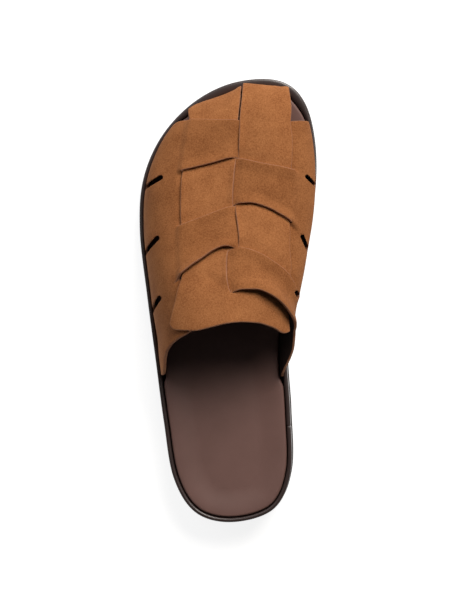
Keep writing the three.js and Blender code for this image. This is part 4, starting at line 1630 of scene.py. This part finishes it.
@dataclass(frozen=True)
class Studio:
    """A pale floor, soft light from the toe and big-toe side, and a camera straight above."""

    camera_place: tuple[float, float, float] = (0.0604, 0.0007, 1.2)
    # half the photograph's height in millimetres, over the camera's distance
    half_height: float = 300 * 0.646 / 1185
    sensor: float = 36.0
    floor_size: float = 3.0
    floor_drop: float = 0.0002
    ambient: float = 0.05
    glow: float = 0.86
    lights: tuple[SoftLight, ...] = (
        SoftLight("key", (0.48, 0.92, 1.06), 0.85, 25.5, "#fffaf4"),
        SoftLight("fill", (-0.80, 0.85, 0.95), 1.0, 4.0, "#f4f8ff"),
    )

    def build(self, low: Vector, high: Vector) -> bpy.types.Object:
        """Makes the studio round the shoe.

        Args:
            low: Lowest corner of the shoe.
            high: Highest corner.

        Returns:
            The floor.
        """
        centre = (low + high) / 2
        for light in self.lights:
            light.build(centre)
        self._world()
        self._camera(centre)
        return self._floor()

    def _world(self) -> None:
        """Sets an even pale light from all round."""
        scene = bpy.context.scene
        scene.world = bpy.data.worlds.new("studio")
        scene.world.use_nodes = True
        background = scene.world.node_tree.nodes["Background"]
        background.inputs["Color"].default_value = linear("#ffffff")
        background.inputs["Strength"].default_value = self.ambient
        scene.view_settings.view_transform = "Standard"

    def _camera(self, centre: Vector) -> None:
        """Sets the camera over the shoe, as it stands over the pair in the photograph.

        Args:
            centre: The middle of the shoe.
        """
        data = bpy.data.cameras.new("camera")
        data.sensor_width = self.sensor
        data.lens = self.sensor / 2 / self.half_height
        camera = linked("camera", data)
        camera.location = self.camera_place
        back = (camera.location - Vector((0.0, 0.0, centre.z))).normalized()
        right = Vector((0.0, 1.0, 0.0)).cross(back).normalized()
        turn = Matrix((right, back.cross(right), back)).transposed()
        camera.rotation_euler = turn.to_euler()
        bpy.context.scene.camera = camera

    def _floor(self) -> bpy.types.Object:
        """Makes the floor, a plane just under the sole."""
        half = self.floor_size / 2
        corners = [(-half, -half), (half, -half), (half, half), (-half, half)]
        mesh = bpy.data.meshes.new("floor")
        mesh.from_pydata([(x, y, -self.floor_drop) for x, y in corners], [], [(0, 1, 2, 3)])
        material = bpy.data.materials.new("matt_white_paint")
        material.use_nodes = True
        shader = material.node_tree.nodes["Principled BSDF"]
        shader.inputs["Base Color"].default_value = linear("#a9a9a9")
        shader.inputs["Roughness"].default_value = 0.9
        shader.inputs["Emission Color"].default_value = linear("#ffffff")
        shader.inputs["Emission Strength"].default_value = self.glow
        mesh.materials.append(material)
        return linked("floor", mesh)


def dress(piece: bpy.types.Object, slot: Slot, *nodes: str) -> None:
    """Ties a piece to the frame.

    Args:
        piece: The finished piece.
        slot: The record's material slot.
        *nodes: The CAD nodes that it stands for.
    """
    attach(piece, "root")
    if nodes:
        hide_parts(*nodes)
    faces = len(piece.data.polygons)
    LOG.info("%s: %d faces, slot %s", piece.name, faces, slot.value)


def main() -> None:
    """Builds the shoe and the studio, piece by piece."""
    logging.basicConfig(level=logging.INFO, format="%(name)s %(message)s")
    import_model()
    low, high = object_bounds()
    dress(Outsole().build(), Slot.OUTSOLE, "outsole")
    dress(ArchPips().build(), Slot.OUTSOLE)
    dress(Midsole().build(), Slot.WRAP, "midsole")
    insole = Insole().build()
    dress(insole, Slot.INSOLE, "insole")
    bands, straps = Upper(Weave(Last())).build()
    dress(bands, Slot.SUEDE, "upper")
    dress(straps, Slot.SUEDE, "upper")
    Studio().build(low, high)


if __name__ == "__main__":
    main()
